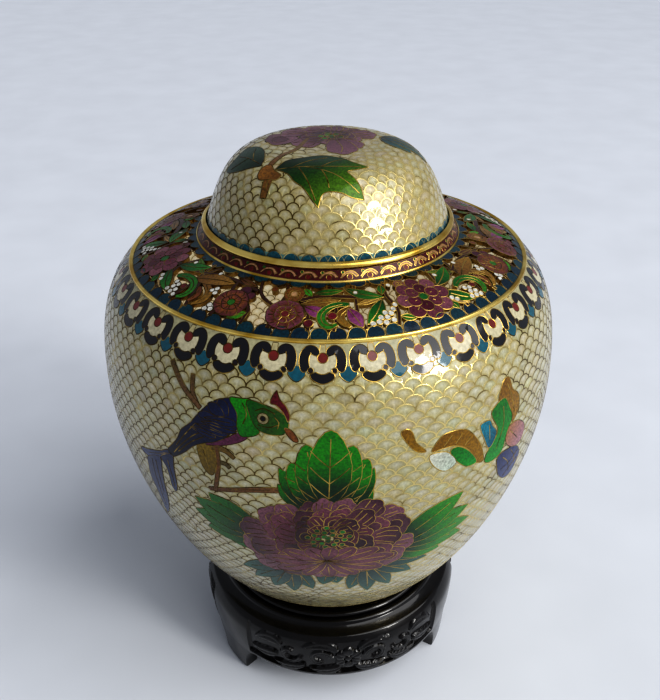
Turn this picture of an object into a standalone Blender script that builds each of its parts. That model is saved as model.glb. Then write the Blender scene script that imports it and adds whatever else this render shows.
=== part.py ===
"""Openwork enamel jar with a domed lid on a carved wooden stand.

Metres, +Z up. The origin is on the ground, under the middle of the feet.
Azimuths are degrees round +Z, counted from the front (-Y) towards the right (+X).
"""
import math

import bmesh
import bpy
from mathutils import Vector
from mathutils.geometry import delaunay_2d_cdt

MM = 0.001

# Turning
SEGMENTS = 40                      # facets round every turned piece
FINE_STEPS = 40                    # points on an outline that is measured along
GAP = 0.3 * MM                     # between pieces that touch
WELD = 0.01 * MM                   # distance at which seams are welded
SNAP = 0.02 * MM                   # distance at which flat outlines share a corner

# Stand
FOOT_COUNT = 3
FOOT_AZIMUTH = -52.4               # degrees, first foot
FOOT_HEIGHT = 15.5 * MM            # ground to the apron's lower edge
FOOT_WIDTH = 17.0 * MM             # along the ground
FOOT_BRACKET = 8.0 * MM            # reach of the curve that joins a foot to the apron
FOOT_TUCK = 3.0 * MM               # how far the sole stands inside the apron's widest line
APRON_RADIUS = 60.2 * MM
APRON_HEIGHT = 23.0 * MM
APRON_TUCK = 1.6 * MM              # how far the lower edge stands inside the widest line
APRON_SHOULDER = 2.6 * MM          # how far the upper edge stands inside the widest line
APRON_THICKNESS = 9.6 * MM
CARVING_DEPTH = 1.4 * MM
PANEL_MARGIN = 1.9 * MM            # plain edge above and below the carving
PANEL_END = 14.0 * MM              # plain stretch each side of a foot's middle
BOARD_THICKNESS = 8.0 * MM         # seat floor to underside
LIP_HEIGHT = 5.6 * MM              # apron's upper edge to the top of the inner bead
SEAT_DEPTH = 2.9 * MM              # top of the inner bead to the seat floor
SEAT_CLEARANCE = 1.0 * MM          # round the jar's foot ring
SEAT_BANK = 4.6 * MM               # width of the slope from the seat up to the inner bead
INNER_BEAD = 3.6 * MM              # bead widths
OUTER_BEAD = 3.2 * MM
BEAD_HEIGHT = 1.5 * MM
BEAD_DROP = 1.4 * MM               # outer bead's top below the inner bead's

# Jar
JAR_FOOT_RADIUS = 40.15 * MM
JAR_FOOT_HEIGHT = 2.8 * MM
JAR_FOOT_THICKNESS = 2.6 * MM
BELLY_RADIUS = 91.8 * MM
BELLY_HEIGHT = 108.1 * MM          # top of the foot ring to the widest line
SHOULDER_HEIGHT = 54.6 * MM        # widest line to the collar
JAR_WALL = 1.8 * MM
NECK_RADIUS = 42.0 * MM
NECK_HEIGHT = 6.7 * MM
COLLAR_SPREAD = 2.5 * MM           # how far the shoulder's end stands outside the ledge
COLLAR_HEIGHT = 3.6 * MM           # shoulder's end up to the ledge that carries the lid
COLLAR_BEAD = 0.7 * MM

# Openwork band, along the wall below the collar
OPENWORK_WIDTH = 27.0 * MM
LOWER_BORDER = 4.3 * MM
UPPER_BORDER = 3.7 * MM
SPRAY_AZIMUTHS = (-68.7, 29.8, 117.0, 204.0)   # the large flower of each spray
SPRAY_SPAN = 98.5                  # degrees that one spray is drawn for
SPRAY_WIDTH = 27.0                 # units across the band in a spray's drawing

# Lid
LID_WALL = 1.6 * MM
LID_HEIGHT = 29.9 * MM
LID_CLEARANCE = 3.9 * MM           # radial, between the neck and the lid's wall at the rim

# Gilt rings
RIM_WIDTH = 1.4 * MM
RIM_HEIGHT = 2.3 * MM
RING_WIDTH = 2.2 * MM
RING_HEIGHT = 1.2 * MM

# Shares of the free outlines: where the handles of their curves stand
LOWER_OUT, LOWER_UP, LOWER_BELLY = 0.505, 0.092, 0.366
UPPER_BELLY, UPPER_OUT, UPPER_DROP = 0.63, 0.827, 0.066
LID_LEAN, LID_RISE, LID_CROWN, LID_CROWN_HANDLE, LID_CROWN_RISE = 0.125, 0.636, 0.432, 0.341, 0.012

# Heights and radii that follow
apron_top = FOOT_HEIGHT + APRON_HEIGHT
apron_widest = FOOT_HEIGHT + 0.7 * APRON_HEIGHT
apron_inside = APRON_RADIUS - APRON_THICKNESS
lip_z = apron_top + LIP_HEIGHT
seat_z = lip_z - SEAT_DEPTH
board_low = seat_z - BOARD_THICKNESS
seat_radius = JAR_FOOT_RADIUS + SEAT_CLEARANCE
jar_foot_z = seat_z + GAP
jar_base_z = jar_foot_z + JAR_FOOT_HEIGHT
belly_z = jar_base_z + BELLY_HEIGHT
collar_z = belly_z + SHOULDER_HEIGHT
ledge_z = collar_z + COLLAR_HEIGHT
neck_top_z = ledge_z + NECK_HEIGHT
lid_radius = NECK_RADIUS + LID_CLEARANCE + LID_WALL
ledge_radius = lid_radius + GAP + RIM_WIDTH * 0.5
collar_radius = ledge_radius + COLLAR_SPREAD
lid_z = ledge_z + GAP


# Outlines, as (radius, height)

def bezier(p0, p1, p2, p3, count):
    """Points of a cubic curve, both ends included."""
    points = []
    for i in range(count + 1):
        t = i / count
        a, b, c, d = (1 - t) ** 3, 3 * t * (1 - t) ** 2, 3 * t * t * (1 - t), t ** 3
        points.append((a * p0[0] + b * p1[0] + c * p2[0] + d * p3[0],
                       a * p0[1] + b * p1[1] + c * p2[1] + d * p3[1]))
    return points


def lower_wall(count):
    """The jar from its foot ring up to the widest line."""
    reach = BELLY_RADIUS - JAR_FOOT_RADIUS
    return bezier((JAR_FOOT_RADIUS, jar_base_z),
                  (JAR_FOOT_RADIUS + LOWER_OUT * reach, jar_base_z + LOWER_UP * BELLY_HEIGHT),
                  (BELLY_RADIUS, belly_z - LOWER_BELLY * BELLY_HEIGHT),
                  (BELLY_RADIUS, belly_z), count)


def upper_wall(count):
    """The jar from the widest line up to the collar."""
    reach = BELLY_RADIUS - collar_radius
    return bezier((BELLY_RADIUS, belly_z),
                  (BELLY_RADIUS, belly_z + UPPER_BELLY * SHOULDER_HEIGHT),
                  (collar_radius + UPPER_OUT * reach, collar_z - UPPER_DROP * SHOULDER_HEIGHT),
                  (collar_radius, collar_z), count)


def lid_dome(side, crown):
    """The lid from its rim up its side and over the shallow crown to the middle."""
    rise = LID_CROWN_RISE * LID_HEIGHT
    crown_radius = LID_CROWN * lid_radius
    handle = LID_CROWN_HANDLE * lid_radius
    crown_z = lid_z + LID_HEIGHT - rise
    outline = bezier((lid_radius, lid_z),
                     (lid_radius * (1 - LID_LEAN), lid_z + LID_RISE * LID_HEIGHT),
                     (crown_radius + handle, crown_z - handle * 2 * rise / crown_radius),
                     (crown_radius, crown_z), side)
    for i in range(1, crown + 1):
        share = 1 - i / crown
        outline.append((crown_radius * share, crown_z + rise * (1 - share * share)))
    return outline


def inset(outline, distance):
    """The outline moved inwards by a wall's thickness, square to itself."""
    moved = []
    for i, (r, z) in enumerate(outline):
        before = outline[max(i - 1, 0)]
        after = outline[min(i + 1, len(outline) - 1)]
        dr, dz = after[0] - before[0], after[1] - before[1]
        length = math.hypot(dr, dz)
        moved.append((max(r - distance * dz / length, 0.0), z + distance * dr / length))
    return moved


def bead(outer, inner, low, height, count=3):
    """A rounded moulding from its outer to its inner radius."""
    middle, half = (outer + inner) / 2, (outer - inner) / 2
    return [(middle + half * math.cos(math.pi * i / count), low + height * math.sin(math.pi * i / count))
            for i in range(count + 1)]


class Measure:
    """Places on an outline by their distance along it from its last point."""

    def __init__(self, outline):
        self.points = outline[::-1]
        self.lengths = [0.0]
        for a, b in zip(self.points, self.points[1:]):
            self.lengths.append(self.lengths[-1] + math.dist(a, b))
        self.whole = self.lengths[-1]

    def at(self, distance, out=0.0):
        """The point at a distance, moved out square to the outline."""
        i = 1
        while i < len(self.points) - 1 and self.lengths[i] < distance:
            i += 1
        share = (distance - self.lengths[i - 1]) / (self.lengths[i] - self.lengths[i - 1])
        (r0, z0), (r1, z1) = self.points[i - 1], self.points[i]
        step = math.dist((r0, z0), (r1, z1))
        return (r0 + share * (r1 - r0) - out * (z1 - z0) / step,
                z0 + share * (z1 - z0) + out * (r1 - r0) / step)


# Making closed meshes

def around(radius, z, azimuth):
    """The point at a radius, a height and an azimuth in degrees."""
    turn = math.radians(azimuth)
    return Vector((radius * math.sin(turn), -radius * math.cos(turn), z))


def turn_outline(bm, outline, start=0.0, closed=False):
    """Spin an outline of (radius, height) points once round the axis."""
    verts = [bm.verts.new(around(r, z, start)) for r, z in outline]
    edges = [bm.edges.new(pair) for pair in zip(verts, verts[1:])]
    if closed:
        edges.append(bm.edges.new((verts[-1], verts[0])))
    bmesh.ops.spin(bm, geom=verts + edges, axis=(0, 0, 1), cent=(0, 0, 0), dvec=(0, 0, 0),
                   angle=math.tau, steps=SEGMENTS, use_merge=True, use_duplicate=False)


def finish_object(name, bm, colour, roughness, metallic, sharp=35.0):
    """Weld the seams, point the faces outwards and make the named, coloured object."""
    bmesh.ops.remove_doubles(bm, verts=bm.verts, dist=WELD)
    bmesh.ops.triangulate(bm, faces=bm.faces)
    bmesh.ops.recalc_face_normals(bm, faces=bm.faces)
    mesh = bpy.data.meshes.new(name)
    bm.to_mesh(mesh)
    bm.free()
    mesh.shade_smooth()
    mesh.set_sharp_from_angle(angle=math.radians(sharp))
    material = bpy.data.materials.new(name)
    material.use_nodes = True
    shader = material.node_tree.nodes["Principled BSDF"]
    shader.inputs["Base Color"].default_value = (*colour, 1.0)
    shader.inputs["Roughness"].default_value = roughness
    shader.inputs["Metallic"].default_value = metallic
    mesh.materials.append(material)
    bpy.context.scene.collection.objects.link(bpy.data.objects.new(name, mesh))


# Flat shapes for the openwork and the carving, in millimetres along and across a band

def ribbon(spine, width, count):
    """A smooth band on a spine of four points; width gives its breadth from start to tip."""
    middle = bezier(*spine, count)
    left, right = [], []
    for i, (x, y) in enumerate(middle):
        before, after = middle[max(i - 1, 0)], middle[min(i + 1, count)]
        dx, dy = after[0] - before[0], after[1] - before[1]
        length = math.hypot(dx, dy)
        half = width(i / count) / 2
        left.append((x - half * dy / length, y + half * dx / length))
        right.append((x + half * dy / length, y - half * dx / length))
    return left + right[::-1]


def leaf(spine, width, count=4):
    """A ribbon that swells, then narrows to a blunt tip."""
    return ribbon(spine, lambda t: width * (0.45 + 0.55 * math.sin(math.pi * min(t * 1.1, 1.0))), count)


def stem(spine, width, count=3):
    """A ribbon of one breadth."""
    return ribbon(spine, lambda t: width, count)


def curl(x, y, radius, start, turn, width, count=6):
    """A band that winds in from a radius and narrows, from an angle over turn degrees."""
    outer, inner = [], []
    for i in range(count + 1):
        t = i / count
        angle = math.radians(start + turn * t)
        middle = radius * (1 - 0.55 * t)
        half = width * (1 - 0.4 * t) / 2
        outer.append((x + (middle + half) * math.cos(angle), y + (middle + half) * math.sin(angle)))
        inner.append((x + (middle - half) * math.cos(angle), y + (middle - half) * math.sin(angle)))
    return outer + inner[::-1]


def rosette(x, y, radius, petals):
    """A flower with a shoulder and a notch for each petal."""
    points = []
    for i in range(petals * 2):
        angle = math.tau * (i + 0.5) / (petals * 2)
        reach = radius * (1.0 if i % 2 else 0.87)
        points.append((x + reach * math.cos(angle), y + reach * math.sin(angle)))
    return points


def to_disc(azimuth, y, rim):
    """Flatten a place on a band to a disc: y is measured in towards the axis from radius rim."""
    turn = math.radians(azimuth)
    return (rim - y) * math.cos(turn), (rim - y) * math.sin(turn)


def from_disc(x, y, rim):
    """The azimuth and height of a place on the disc."""
    return math.degrees(math.atan2(y, x)), rim - math.hypot(x, y)


def disc_ring(y, rim, start):
    """A circle on the disc with a corner on every facet line."""
    return [to_disc(start + 360 * i / SEGMENTS, y, rim) for i in range(SEGMENTS)]


def turns_left(outline):
    """Whether a flat outline runs anticlockwise."""
    return sum(x0 * y1 - x1 * y0 for (x0, y0), (x1, y1) in zip(outline, outline[1:] + outline[:1])) > 0


def disc_triangles(faces, loose=()):
    """Triangulate closed flat outlines; each triangle comes with the numbers of those over it."""
    points, loops = [], []
    for outline in faces:
        loop = list(range(len(points), len(points) + len(outline)))
        loops.append(loop if turns_left(outline) else loop[::-1])
        points += outline
    corners, _, triangles, _, _, owners = delaunay_2d_cdt(
        [Vector(p) for p in points + list(loose)], [], loops, 0, SNAP / MM)
    return [tuple(c) for c in corners], [(tuple(t), set(o)) for t, o in zip(triangles, owners)]


def outer_edges(triangles):
    """Edges that only one of the triangles has."""
    uses = {}
    for a, b, c in triangles:
        for edge in ((a, b), (b, c), (c, a)):
            key = tuple(sorted(edge))
            uses[key] = uses.get(key, 0) + 1
    return [edge for edge, count in uses.items() if count == 1]


def add_sheet(bm, corners, triangles, place):
    """Put flat triangles into space and return the vertex made for each corner."""
    verts = {}
    for triangle in triangles:
        for i in triangle:
            if i not in verts:
                verts[i] = bm.verts.new(place(*corners[i]))
        bm.faces.new([verts[i] for i in triangle])
    return verts


def add_walls(bm, edges, first, second):
    """Close the step between two sheets along the given edges."""
    for a, b in edges:
        bm.faces.new((first[a], first[b], second[b], second[a]))


# Jar

def spray(spread):
    """One spray of the openwork in drawing units, from (degrees from its flower, height) places."""
    def curve(*points):
        return [(x * spread, y) for x, y in points]

    return [
        rosette(0, 13.5, 9.6, 6),
        leaf(curve((6, 15), (13, 20), (24, 18), (24, 3)), 5.2, 5),
        leaf(curve((6, 10), (11, 11), (15, 8), (17, 2)), 4.4, 3),
        leaf(curve((20, 25), (31, 22), (30, 12), (32, 2)), 5.0),
        rosette(40 * spread, 11.2, 7.8, 5),
        stem(curve((30, 15), (33, 20), (38, 19), (41, 25)), 2.4),
        rosette(58 * spread, 8.8, 6.8, 5),
        rosette(55.5 * spread, 20.8, 4.6, 4),
        leaf(curve((57, 21), (64, 25), (70, 22), (78, 20)), 4.8, 3),
        leaf(curve((58, 12), (66, 17), (72, 15), (77, 10)), 4.4, 3),
        rosette(75.5 * spread, 8.4, 6.2, 5),
        leaf(curve((76, 12), (79, 19), (85, 18), (87, 25)), 4.2, 3),
        leaf(curve((79, 9), (83, 9), (86, 6), (87, 2)), 3.8, 3),
        stem(curve((92, 15), (88, 14), (84, 14), (79, 16)), 2.4),
    ]


def openwork_sprays(per_degree, width):
    """The sprays as flat outlines of (azimuth, height), each stretched to reach the next."""
    scale = width / SPRAY_WIDTH
    units_per_degree = per_degree / scale
    outlines = []
    for i, flower in enumerate(SPRAY_AZIMUTHS):
        following = (SPRAY_AZIMUTHS + (SPRAY_AZIMUTHS[0] + 360,))[i + 1]
        spread = (following - flower) / SPRAY_SPAN * units_per_degree
        for outline in spray(spread):
            outlines.append([(flower + x / units_per_degree, y * scale) for x, y in outline])
    return outlines


def make_jar():
    """The hollow jar: turned walls, and the pierced band as two sheets with cut edges between."""
    upper = upper_wall(FINE_STEPS)
    outside = Measure(upper)
    inside = Measure(inset(upper, JAR_WALL))
    stretch = inside.whole / outside.whole
    steps = 4
    below = [outside.whole + (OPENWORK_WIDTH + RING_WIDTH - outside.whole) * i / steps
             for i in range(1, steps + 1)] + [OPENWORK_WIDTH]

    bm = bmesh.new()
    lower = lower_wall(7)
    foot_inside = JAR_FOOT_RADIUS - JAR_FOOT_THICKNESS
    turn_outline(bm, [(0.0, jar_base_z), (foot_inside, jar_base_z), (foot_inside, jar_foot_z),
                      (JAR_FOOT_RADIUS, jar_foot_z)] + lower + [outside.at(d) for d in below])
    floor_z = jar_base_z + JAR_WALL
    lower_inside = [p for p in inset(lower, JAR_WALL) if p[1] > floor_z + JAR_WALL / 2]
    turn_outline(bm, [(0.0, floor_z), (foot_inside, floor_z)] + lower_inside
                 + [inside.at(d * stretch) for d in below])
    mouth = NECK_RADIUS - JAR_WALL
    turn_outline(bm, [
        outside.at(0.0), (collar_radius + COLLAR_BEAD, collar_z + COLLAR_BEAD),
        (collar_radius, collar_z + 2 * COLLAR_BEAD), (ledge_radius, ledge_z), (NECK_RADIUS, ledge_z),
        (NECK_RADIUS, neck_top_z), (mouth, neck_top_z), (mouth, ledge_z - JAR_WALL),
        (ledge_radius - JAR_WALL / 2, ledge_z - JAR_WALL), inside.at(0.0)])

    width = OPENWORK_WIDTH / MM
    middle = outside.at(OPENWORK_WIDTH / 2)[0] / MM
    rim = middle + width / 2
    rings = [disc_ring(y, rim, 0.0) for y in (0.0, LOWER_BORDER / MM, width - UPPER_BORDER / MM, width)]
    sprays = [[to_disc(a, y, rim) for a, y in outline]
              for outline in openwork_sprays(math.radians(middle), width)]
    corners, triangles = disc_triangles(rings + sprays)
    first_spray = len(rings)
    solid = [t for t, over in triangles
             if 0 in over and 3 not in over and (1 not in over or 2 in over or max(over) >= first_spray)]

    def outer_place(x, y):
        azimuth, height = from_disc(x, y, rim)
        return around(*outside.at((width - height) * MM), azimuth)

    def inner_place(x, y):
        azimuth, height = from_disc(x, y, rim)
        return around(*inside.at((width - height) * MM * stretch), azimuth)

    first = add_sheet(bm, corners, solid, outer_place)
    second = add_sheet(bm, corners, solid, inner_place)
    margin = LOWER_BORDER / MM / 2
    cut = [(a, b) for a, b in outer_edges(solid)
           if margin < from_disc(*corners[a], rim)[1] < width - margin]
    add_walls(bm, cut, first, second)
    finish_object("jar", bm, (0.55, 0.50, 0.36), 0.25, 0.0)


def make_shoulder_ring():
    """The gilt ring that follows the wall just below the openwork."""
    outside = Measure(upper_wall(FINE_STEPS))
    count = 4
    outline = []
    for i in range(count + 1):
        share = i / count
        lift = GAP + RING_HEIGHT * math.sin(math.pi * share)
        outline.append(outside.at(OPENWORK_WIDTH + RING_WIDTH * share, lift))
    bm = bmesh.new()
    turn_outline(bm, outline, closed=True)
    finish_object("gilt_shoulder_ring", bm, (0.80, 0.58, 0.22), 0.25, 1.0)


# Lid

def make_lid():
    """The hollow dome, open below."""
    outline = lid_dome(8, 1)
    hollow = inset(outline, LID_WALL)[:-1:2]
    hollow[0] = (lid_radius - LID_WALL, lid_z)
    hollow.append((0.0, lid_z + LID_HEIGHT - LID_WALL))
    bm = bmesh.new()
    turn_outline(bm, outline[::-1] + hollow)
    finish_object("lid", bm, (0.62, 0.58, 0.44), 0.25, 0.0)


def make_lid_rim():
    """The gilt rim round the lid's lower edge."""
    outline = lid_dome(9, 2)
    (r0, z0), (r1, z1) = outline[:2]
    lean = (r1 - r0) / (z1 - z0)
    foot_in = (lid_radius + GAP, lid_z)
    head_in = (lid_radius + GAP + lean * RIM_HEIGHT, lid_z + RIM_HEIGHT)
    out = lid_radius + GAP + RIM_WIDTH
    ring = [foot_in, (out - RIM_WIDTH * 0.25, lid_z), (out, lid_z + RIM_HEIGHT * 0.3),
            (out - RIM_WIDTH * 0.15, lid_z + RIM_HEIGHT * 0.75), head_in]
    bm = bmesh.new()
    turn_outline(bm, ring, closed=True)
    finish_object("gilt_lid_rim", bm, (0.85, 0.62, 0.24), 0.22, 1.0)


# Stand

def apron_radius(z):
    """The apron's outer radius at a height: full at its widest line, tucked in above and below."""
    if z >= apron_widest:
        share = (z - apron_widest) / (apron_top - apron_widest)
        return APRON_RADIUS - APRON_SHOULDER * share ** 2
    if z >= FOOT_HEIGHT:
        share = (apron_widest - z) / (apron_widest - FOOT_HEIGHT)
        return APRON_RADIUS - APRON_TUCK * share ** 2
    share = 1 - z / FOOT_HEIGHT
    return APRON_RADIUS - APRON_TUCK - (FOOT_TUCK - APRON_TUCK) * share


def apron_lower_edge():
    """The lower edge once round: soles, brackets and the runs between, as (azimuth, height) in mm."""
    per_degree = math.radians(APRON_RADIUS / MM)
    half = FOOT_WIDTH / MM / 2 / per_degree
    reach = FOOT_BRACKET / MM / per_degree
    high = FOOT_HEIGHT / MM
    span = 360 / FOOT_COUNT
    side = [(0.0, 0.0), (half / 2, 0.0), (half, 0.0), (half + 0.1 * reach, 0.4 * high),
            (half + 0.35 * reach, 0.75 * high), (half + reach, high)]
    run = span - 2 * (half + reach)
    steps = math.ceil(run * SEGMENTS / 360)
    level = [(half + reach + run * i / steps, high) for i in range(1, steps)]
    other = [(span - a, y) for a, y in side[:0:-1]]
    return [(FOOT_AZIMUTH + a + span * i, y) for i in range(FOOT_COUNT) for a, y in side + level + other]


def carving(low, high, half):
    """The scrolling leaves of one panel, alike on both sides of its middle flower."""
    along, across = half / 48, (high - low) / 19
    right = [
        curl(12.6, 9.4, 5.4, 175, -300, 3.2),
        leaf([(3, 5), (6, 1), (12, 0.6), (18, 3)], 3.8, 3),
        leaf([(4, 14), (8, 18.6), (15, 18.4), (21, 15)], 3.6, 3),
        curl(26.4, 10.2, 5.2, -175, 300, 3.2),
        leaf([(19, 5), (23, 1), (29, 0.6), (35, 3)], 3.6, 3),
        leaf([(30, 14), (34, 18), (39, 17), (44, 13)], 4.2, 3),
        leaf([(32, 8), (36, 6), (41, 5), (46, 7)], 4.2, 3),
    ]
    shapes = [rosette(0, 9.6, 5.8, 6)] + right + [[(-x, y) for x, y in shape] for shape in right]
    return [[(x * along, low + y * across) for x, y in shape] for shape in shapes]


def make_stand():
    """Turned top board with a carved apron and three feet below it, in one piece."""
    per_degree = math.radians(APRON_RADIUS / MM)
    top = apron_top / MM
    rim = APRON_RADIUS / MM + top / 2
    low, high = (FOOT_HEIGHT + PANEL_MARGIN) / MM, (apron_top - PANEL_MARGIN) / MM
    span = 360 / FOOT_COUNT
    end = PANEL_END / MM / per_degree
    panels, leaves = [], []
    for i in range(FOOT_COUNT):
        first = FOOT_AZIMUTH + i * span + end
        length = span - 2 * end
        steps = math.ceil(length * SEGMENTS / 360)
        run = [first + length * k / steps for k in range(steps + 1)]
        panels.append([to_disc(a, low, rim) for a in run] + [to_disc(a, high, rim) for a in run[::-1]])
        for outline in carving(low, high, length * per_degree / 2):
            middle = first + length / 2
            leaves.append([to_disc(middle + x / per_degree, y, rim) for x, y in outline])
    lower = [to_disc(a, y, rim) for a, y in apron_lower_edge()]
    faces = [lower, disc_ring(top, rim, FOOT_AZIMUTH)] + panels + leaves
    corners, triangles = disc_triangles(faces, disc_ring(apron_widest / MM, rim, FOOT_AZIMUTH))
    last_panel = 1 + FOOT_COUNT
    apron = [(t, max(over)) for t, over in triangles if 0 in over and 1 not in over]
    sunk = [t for t, highest in apron if 0 < highest <= last_panel]
    proud = [t for t, highest in apron if highest == 0 or highest > last_panel]

    def outer_place(x, y, depth=0.0):
        azimuth, height = from_disc(x, y, rim)
        return around(apron_radius(height * MM) - depth, height * MM, azimuth)

    def sunk_place(x, y):
        return outer_place(x, y, CARVING_DEPTH)

    def inner_place(x, y):
        azimuth, height = from_disc(x, y, rim)
        return around(apron_inside, height * MM, azimuth)

    bm = bmesh.new()
    face = add_sheet(bm, corners, proud, outer_place)
    ground = add_sheet(bm, corners, sunk, sunk_place)
    add_walls(bm, outer_edges(sunk), face, ground)
    inner_faces = [lower, disc_ring(board_low / MM, rim, FOOT_AZIMUTH)]
    back_corners, back = disc_triangles(inner_faces)
    add_sheet(bm, back_corners, [t for t, over in back if over == {0}], inner_place)
    for a, b in zip(lower, lower[1:] + lower[:1]):
        bm.faces.new([bm.verts.new(p) for p in (outer_place(*a), outer_place(*b), inner_place(*b),
                                                inner_place(*a))])

    bead_out = seat_radius + SEAT_BANK + INNER_BEAD
    outer_out = bead_out + OUTER_BEAD
    low_z = lip_z - BEAD_DROP - BEAD_HEIGHT
    cove_r = (apron_radius(apron_top) + outer_out) / 2
    turn_outline(bm, [(apron_radius(apron_top), apron_top),
                      (apron_radius(apron_top) - BEAD_HEIGHT / 2, apron_top + BEAD_HEIGHT / 3),
                      (cove_r, apron_top + BEAD_HEIGHT / 2)]
                 + bead(outer_out, bead_out, low_z, BEAD_HEIGHT)
                 + bead(bead_out, seat_radius + SEAT_BANK, lip_z - BEAD_HEIGHT, BEAD_HEIGHT)
                 + [(seat_radius, seat_z + (SEAT_DEPTH - BEAD_HEIGHT) / 2), (seat_radius, seat_z),
                    (0.0, seat_z)], FOOT_AZIMUTH)
    turn_outline(bm, [(apron_inside, board_low), (0.0, board_low)], FOOT_AZIMUTH)
    finish_object("stand", bm, (0.02, 0.014, 0.012), 0.2, 0.0)


for old in list(bpy.data.objects):
    bpy.data.objects.remove(old, do_unlink=True)
make_stand()
make_jar()
make_shoulder_ring()
make_lid()
make_lid_rim()
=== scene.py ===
import math
import random

import bmesh
import bpy
import numpy as np
from mathutils import Matrix, Vector
from mathutils.geometry import delaunay_2d_cdt


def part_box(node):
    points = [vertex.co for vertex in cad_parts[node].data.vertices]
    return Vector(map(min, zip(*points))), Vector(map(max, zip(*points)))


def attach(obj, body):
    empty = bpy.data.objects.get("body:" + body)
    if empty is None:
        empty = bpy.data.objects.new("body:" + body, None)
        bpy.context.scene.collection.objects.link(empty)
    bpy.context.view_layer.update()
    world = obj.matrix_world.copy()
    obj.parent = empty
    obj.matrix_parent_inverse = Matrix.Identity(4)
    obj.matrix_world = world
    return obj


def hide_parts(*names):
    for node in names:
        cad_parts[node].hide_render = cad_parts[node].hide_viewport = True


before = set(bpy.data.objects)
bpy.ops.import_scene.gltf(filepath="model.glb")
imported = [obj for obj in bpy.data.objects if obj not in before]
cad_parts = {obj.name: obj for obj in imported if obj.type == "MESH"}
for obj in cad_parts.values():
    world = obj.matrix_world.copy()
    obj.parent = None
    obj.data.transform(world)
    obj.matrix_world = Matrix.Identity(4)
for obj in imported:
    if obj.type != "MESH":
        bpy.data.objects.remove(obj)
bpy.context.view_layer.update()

bpy.ops.object.select_all(action="DESELECT")

# An enamelled jar with a pierced shoulder, a domed lid and a carved, lacquered stand.
# Lengths are in millimetres until a point is placed; azimuths are in degrees from the front (-Y)
# towards the right (+X); a distance on a wall runs along its outline from the lower end.

MM = 0.001
SIDES = 160                                     # round every turned piece
POLE = 0.01                                     # radius at which a turned piece closes on the axis
MERGE = 0.002 * MM                              # points nearer than this are one


def node_size(name):
    """Lowest and highest corner of a node in millimetres."""
    low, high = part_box(name)
    return low / MM, high / MM


jar_low, jar_high = node_size("jar")
lid_low, lid_high = node_size("lid")
stand_high = node_size("stand")[1]

# Jar
BELLY_RADIUS = jar_high.x
JAR_FOOT_RADIUS = 40.15
JAR_FOOT_HEIGHT = 2.8
JAR_WALL = 1.8
NECK_RADIUS = 42.0
NECK_HEIGHT = 6.7
COLLAR_RADIUS = 51.0
LEDGE_RADIUS = 48.5
COLLAR_HEIGHT = 3.6
BELLY_UP = 0.6644                               # share of the body's height that lies below the belly line
FOOT_HANDLE = (0.505, 0.092)                    # handles of the outline's curves, as shares of its sizes
BELLY_HANDLES = (0.366, 0.63)
COLLAR_HANDLE = (0.827, 0.066)
JAR_BASE = jar_low.z + JAR_FOOT_HEIGHT
LEDGE = jar_high.z - NECK_HEIGHT
COLLAR = LEDGE - COLLAR_HEIGHT
BELLY = JAR_BASE + BELLY_UP * (COLLAR - JAR_BASE)

# Lid
LID_RADIUS = lid_high.x
LID_WALL = 1.6
CROWN_SHARE = 0.432                             # of the radius: where the shallow crown begins
CROWN_RISE = 0.36
CROWN_HANDLE = 0.341
SIDE_HANDLE = (0.875, 0.636)

# Stand
FOOT_COUNT = 3
FOOT_AZIMUTH = -52.4
FOOT_HEIGHT = 15.5
FOOT_WIDTH = 17.0
FOOT_BRACKET = 8.0
FOOT_TUCK = 3.0
APRON_RADIUS = 60.2
APRON_HEIGHT = 23.0
APRON_TUCK = 1.6
APRON_SHOULDER = 2.6
APRON_INSIDE = 50.6
APRON_TOP = FOOT_HEIGHT + APRON_HEIGHT
CARVING_DEPTH = 1.4
PANEL_MARGIN = 1.9
PANEL_END = 14.0
SEAT_RADIUS = JAR_FOOT_RADIUS + 1.0
SEAT = stand_high.z - 2.9
BOARD_LOW = SEAT - 8.0
BEAD_IN = SEAT_RADIUS + 4.6                     # the inner bead's edges, then the outer bead's outer one
BEAD_BETWEEN = BEAD_IN + 3.6
BEAD_OUT = BEAD_BETWEEN + 3.2
BEAD_HEIGHT = 1.5
BEAD_DROP = 1.4

# Bands on the body, as distances from its foot
OPENWORK_LOW = 175.6
RING_LOW = 173.9
SCALES_LOW, SCALES_HIGH = 1.0, 164.0            # the scaled ground, up to the cloud band
LINING_LOW = 82.0                               # where the light cells of the lining begin
OPENWORK_WIDTH = 27.0

# Enamel work
SCALE_WIDTH = 6.1
LID_SCALE_WIDTH = 5.6
SCALE_PITCH = 2.9
ARCH_POINTS = 9                                 # of one scale's wire; the crown is the middle one
SET_BACK = 0.16                                 # how far the copper lies under the enamel's face
WIRE = 0.5                                      # width at its foot, a little under the enamel
WIRE_FOOT, WIRE_TOP = -0.03, 0.045              # from the enamel's edge: the wires are ground nearly flush
PICTURE_LOW, PICTURE_HIGH = -0.1, 0.07          # of the enamel of the pictures, from the wall
SEAM = 1e-3                                     # a place this near a tile's edge lies on it


# Colours

def linear(code):
    """Linear colour of an sRGB hex code."""
    values = (int(code[i:i + 2], 16) / 255 for i in (1, 3, 5))
    return np.array([v / 12.92 if v <= 0.04045 else ((v + 0.055) / 1.055) ** 2.4 for v in values])


def shade(start, end, *codes):
    """A colour that runs through the codes from one place to another."""
    start, end = np.array(start, float), np.array(end, float)
    stops = np.array([linear(code) for code in codes])
    axis = end - start

    def tint(points):
        share = np.clip((points - start) @ axis / (axis @ axis), 0, 1) * (len(stops) - 1)
        return np.stack([np.interp(share, range(len(stops)), stops[:, i]) for i in range(3)], -1)
    return tint


# Walls and the flat sheets that their decoration is drawn on

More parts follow.
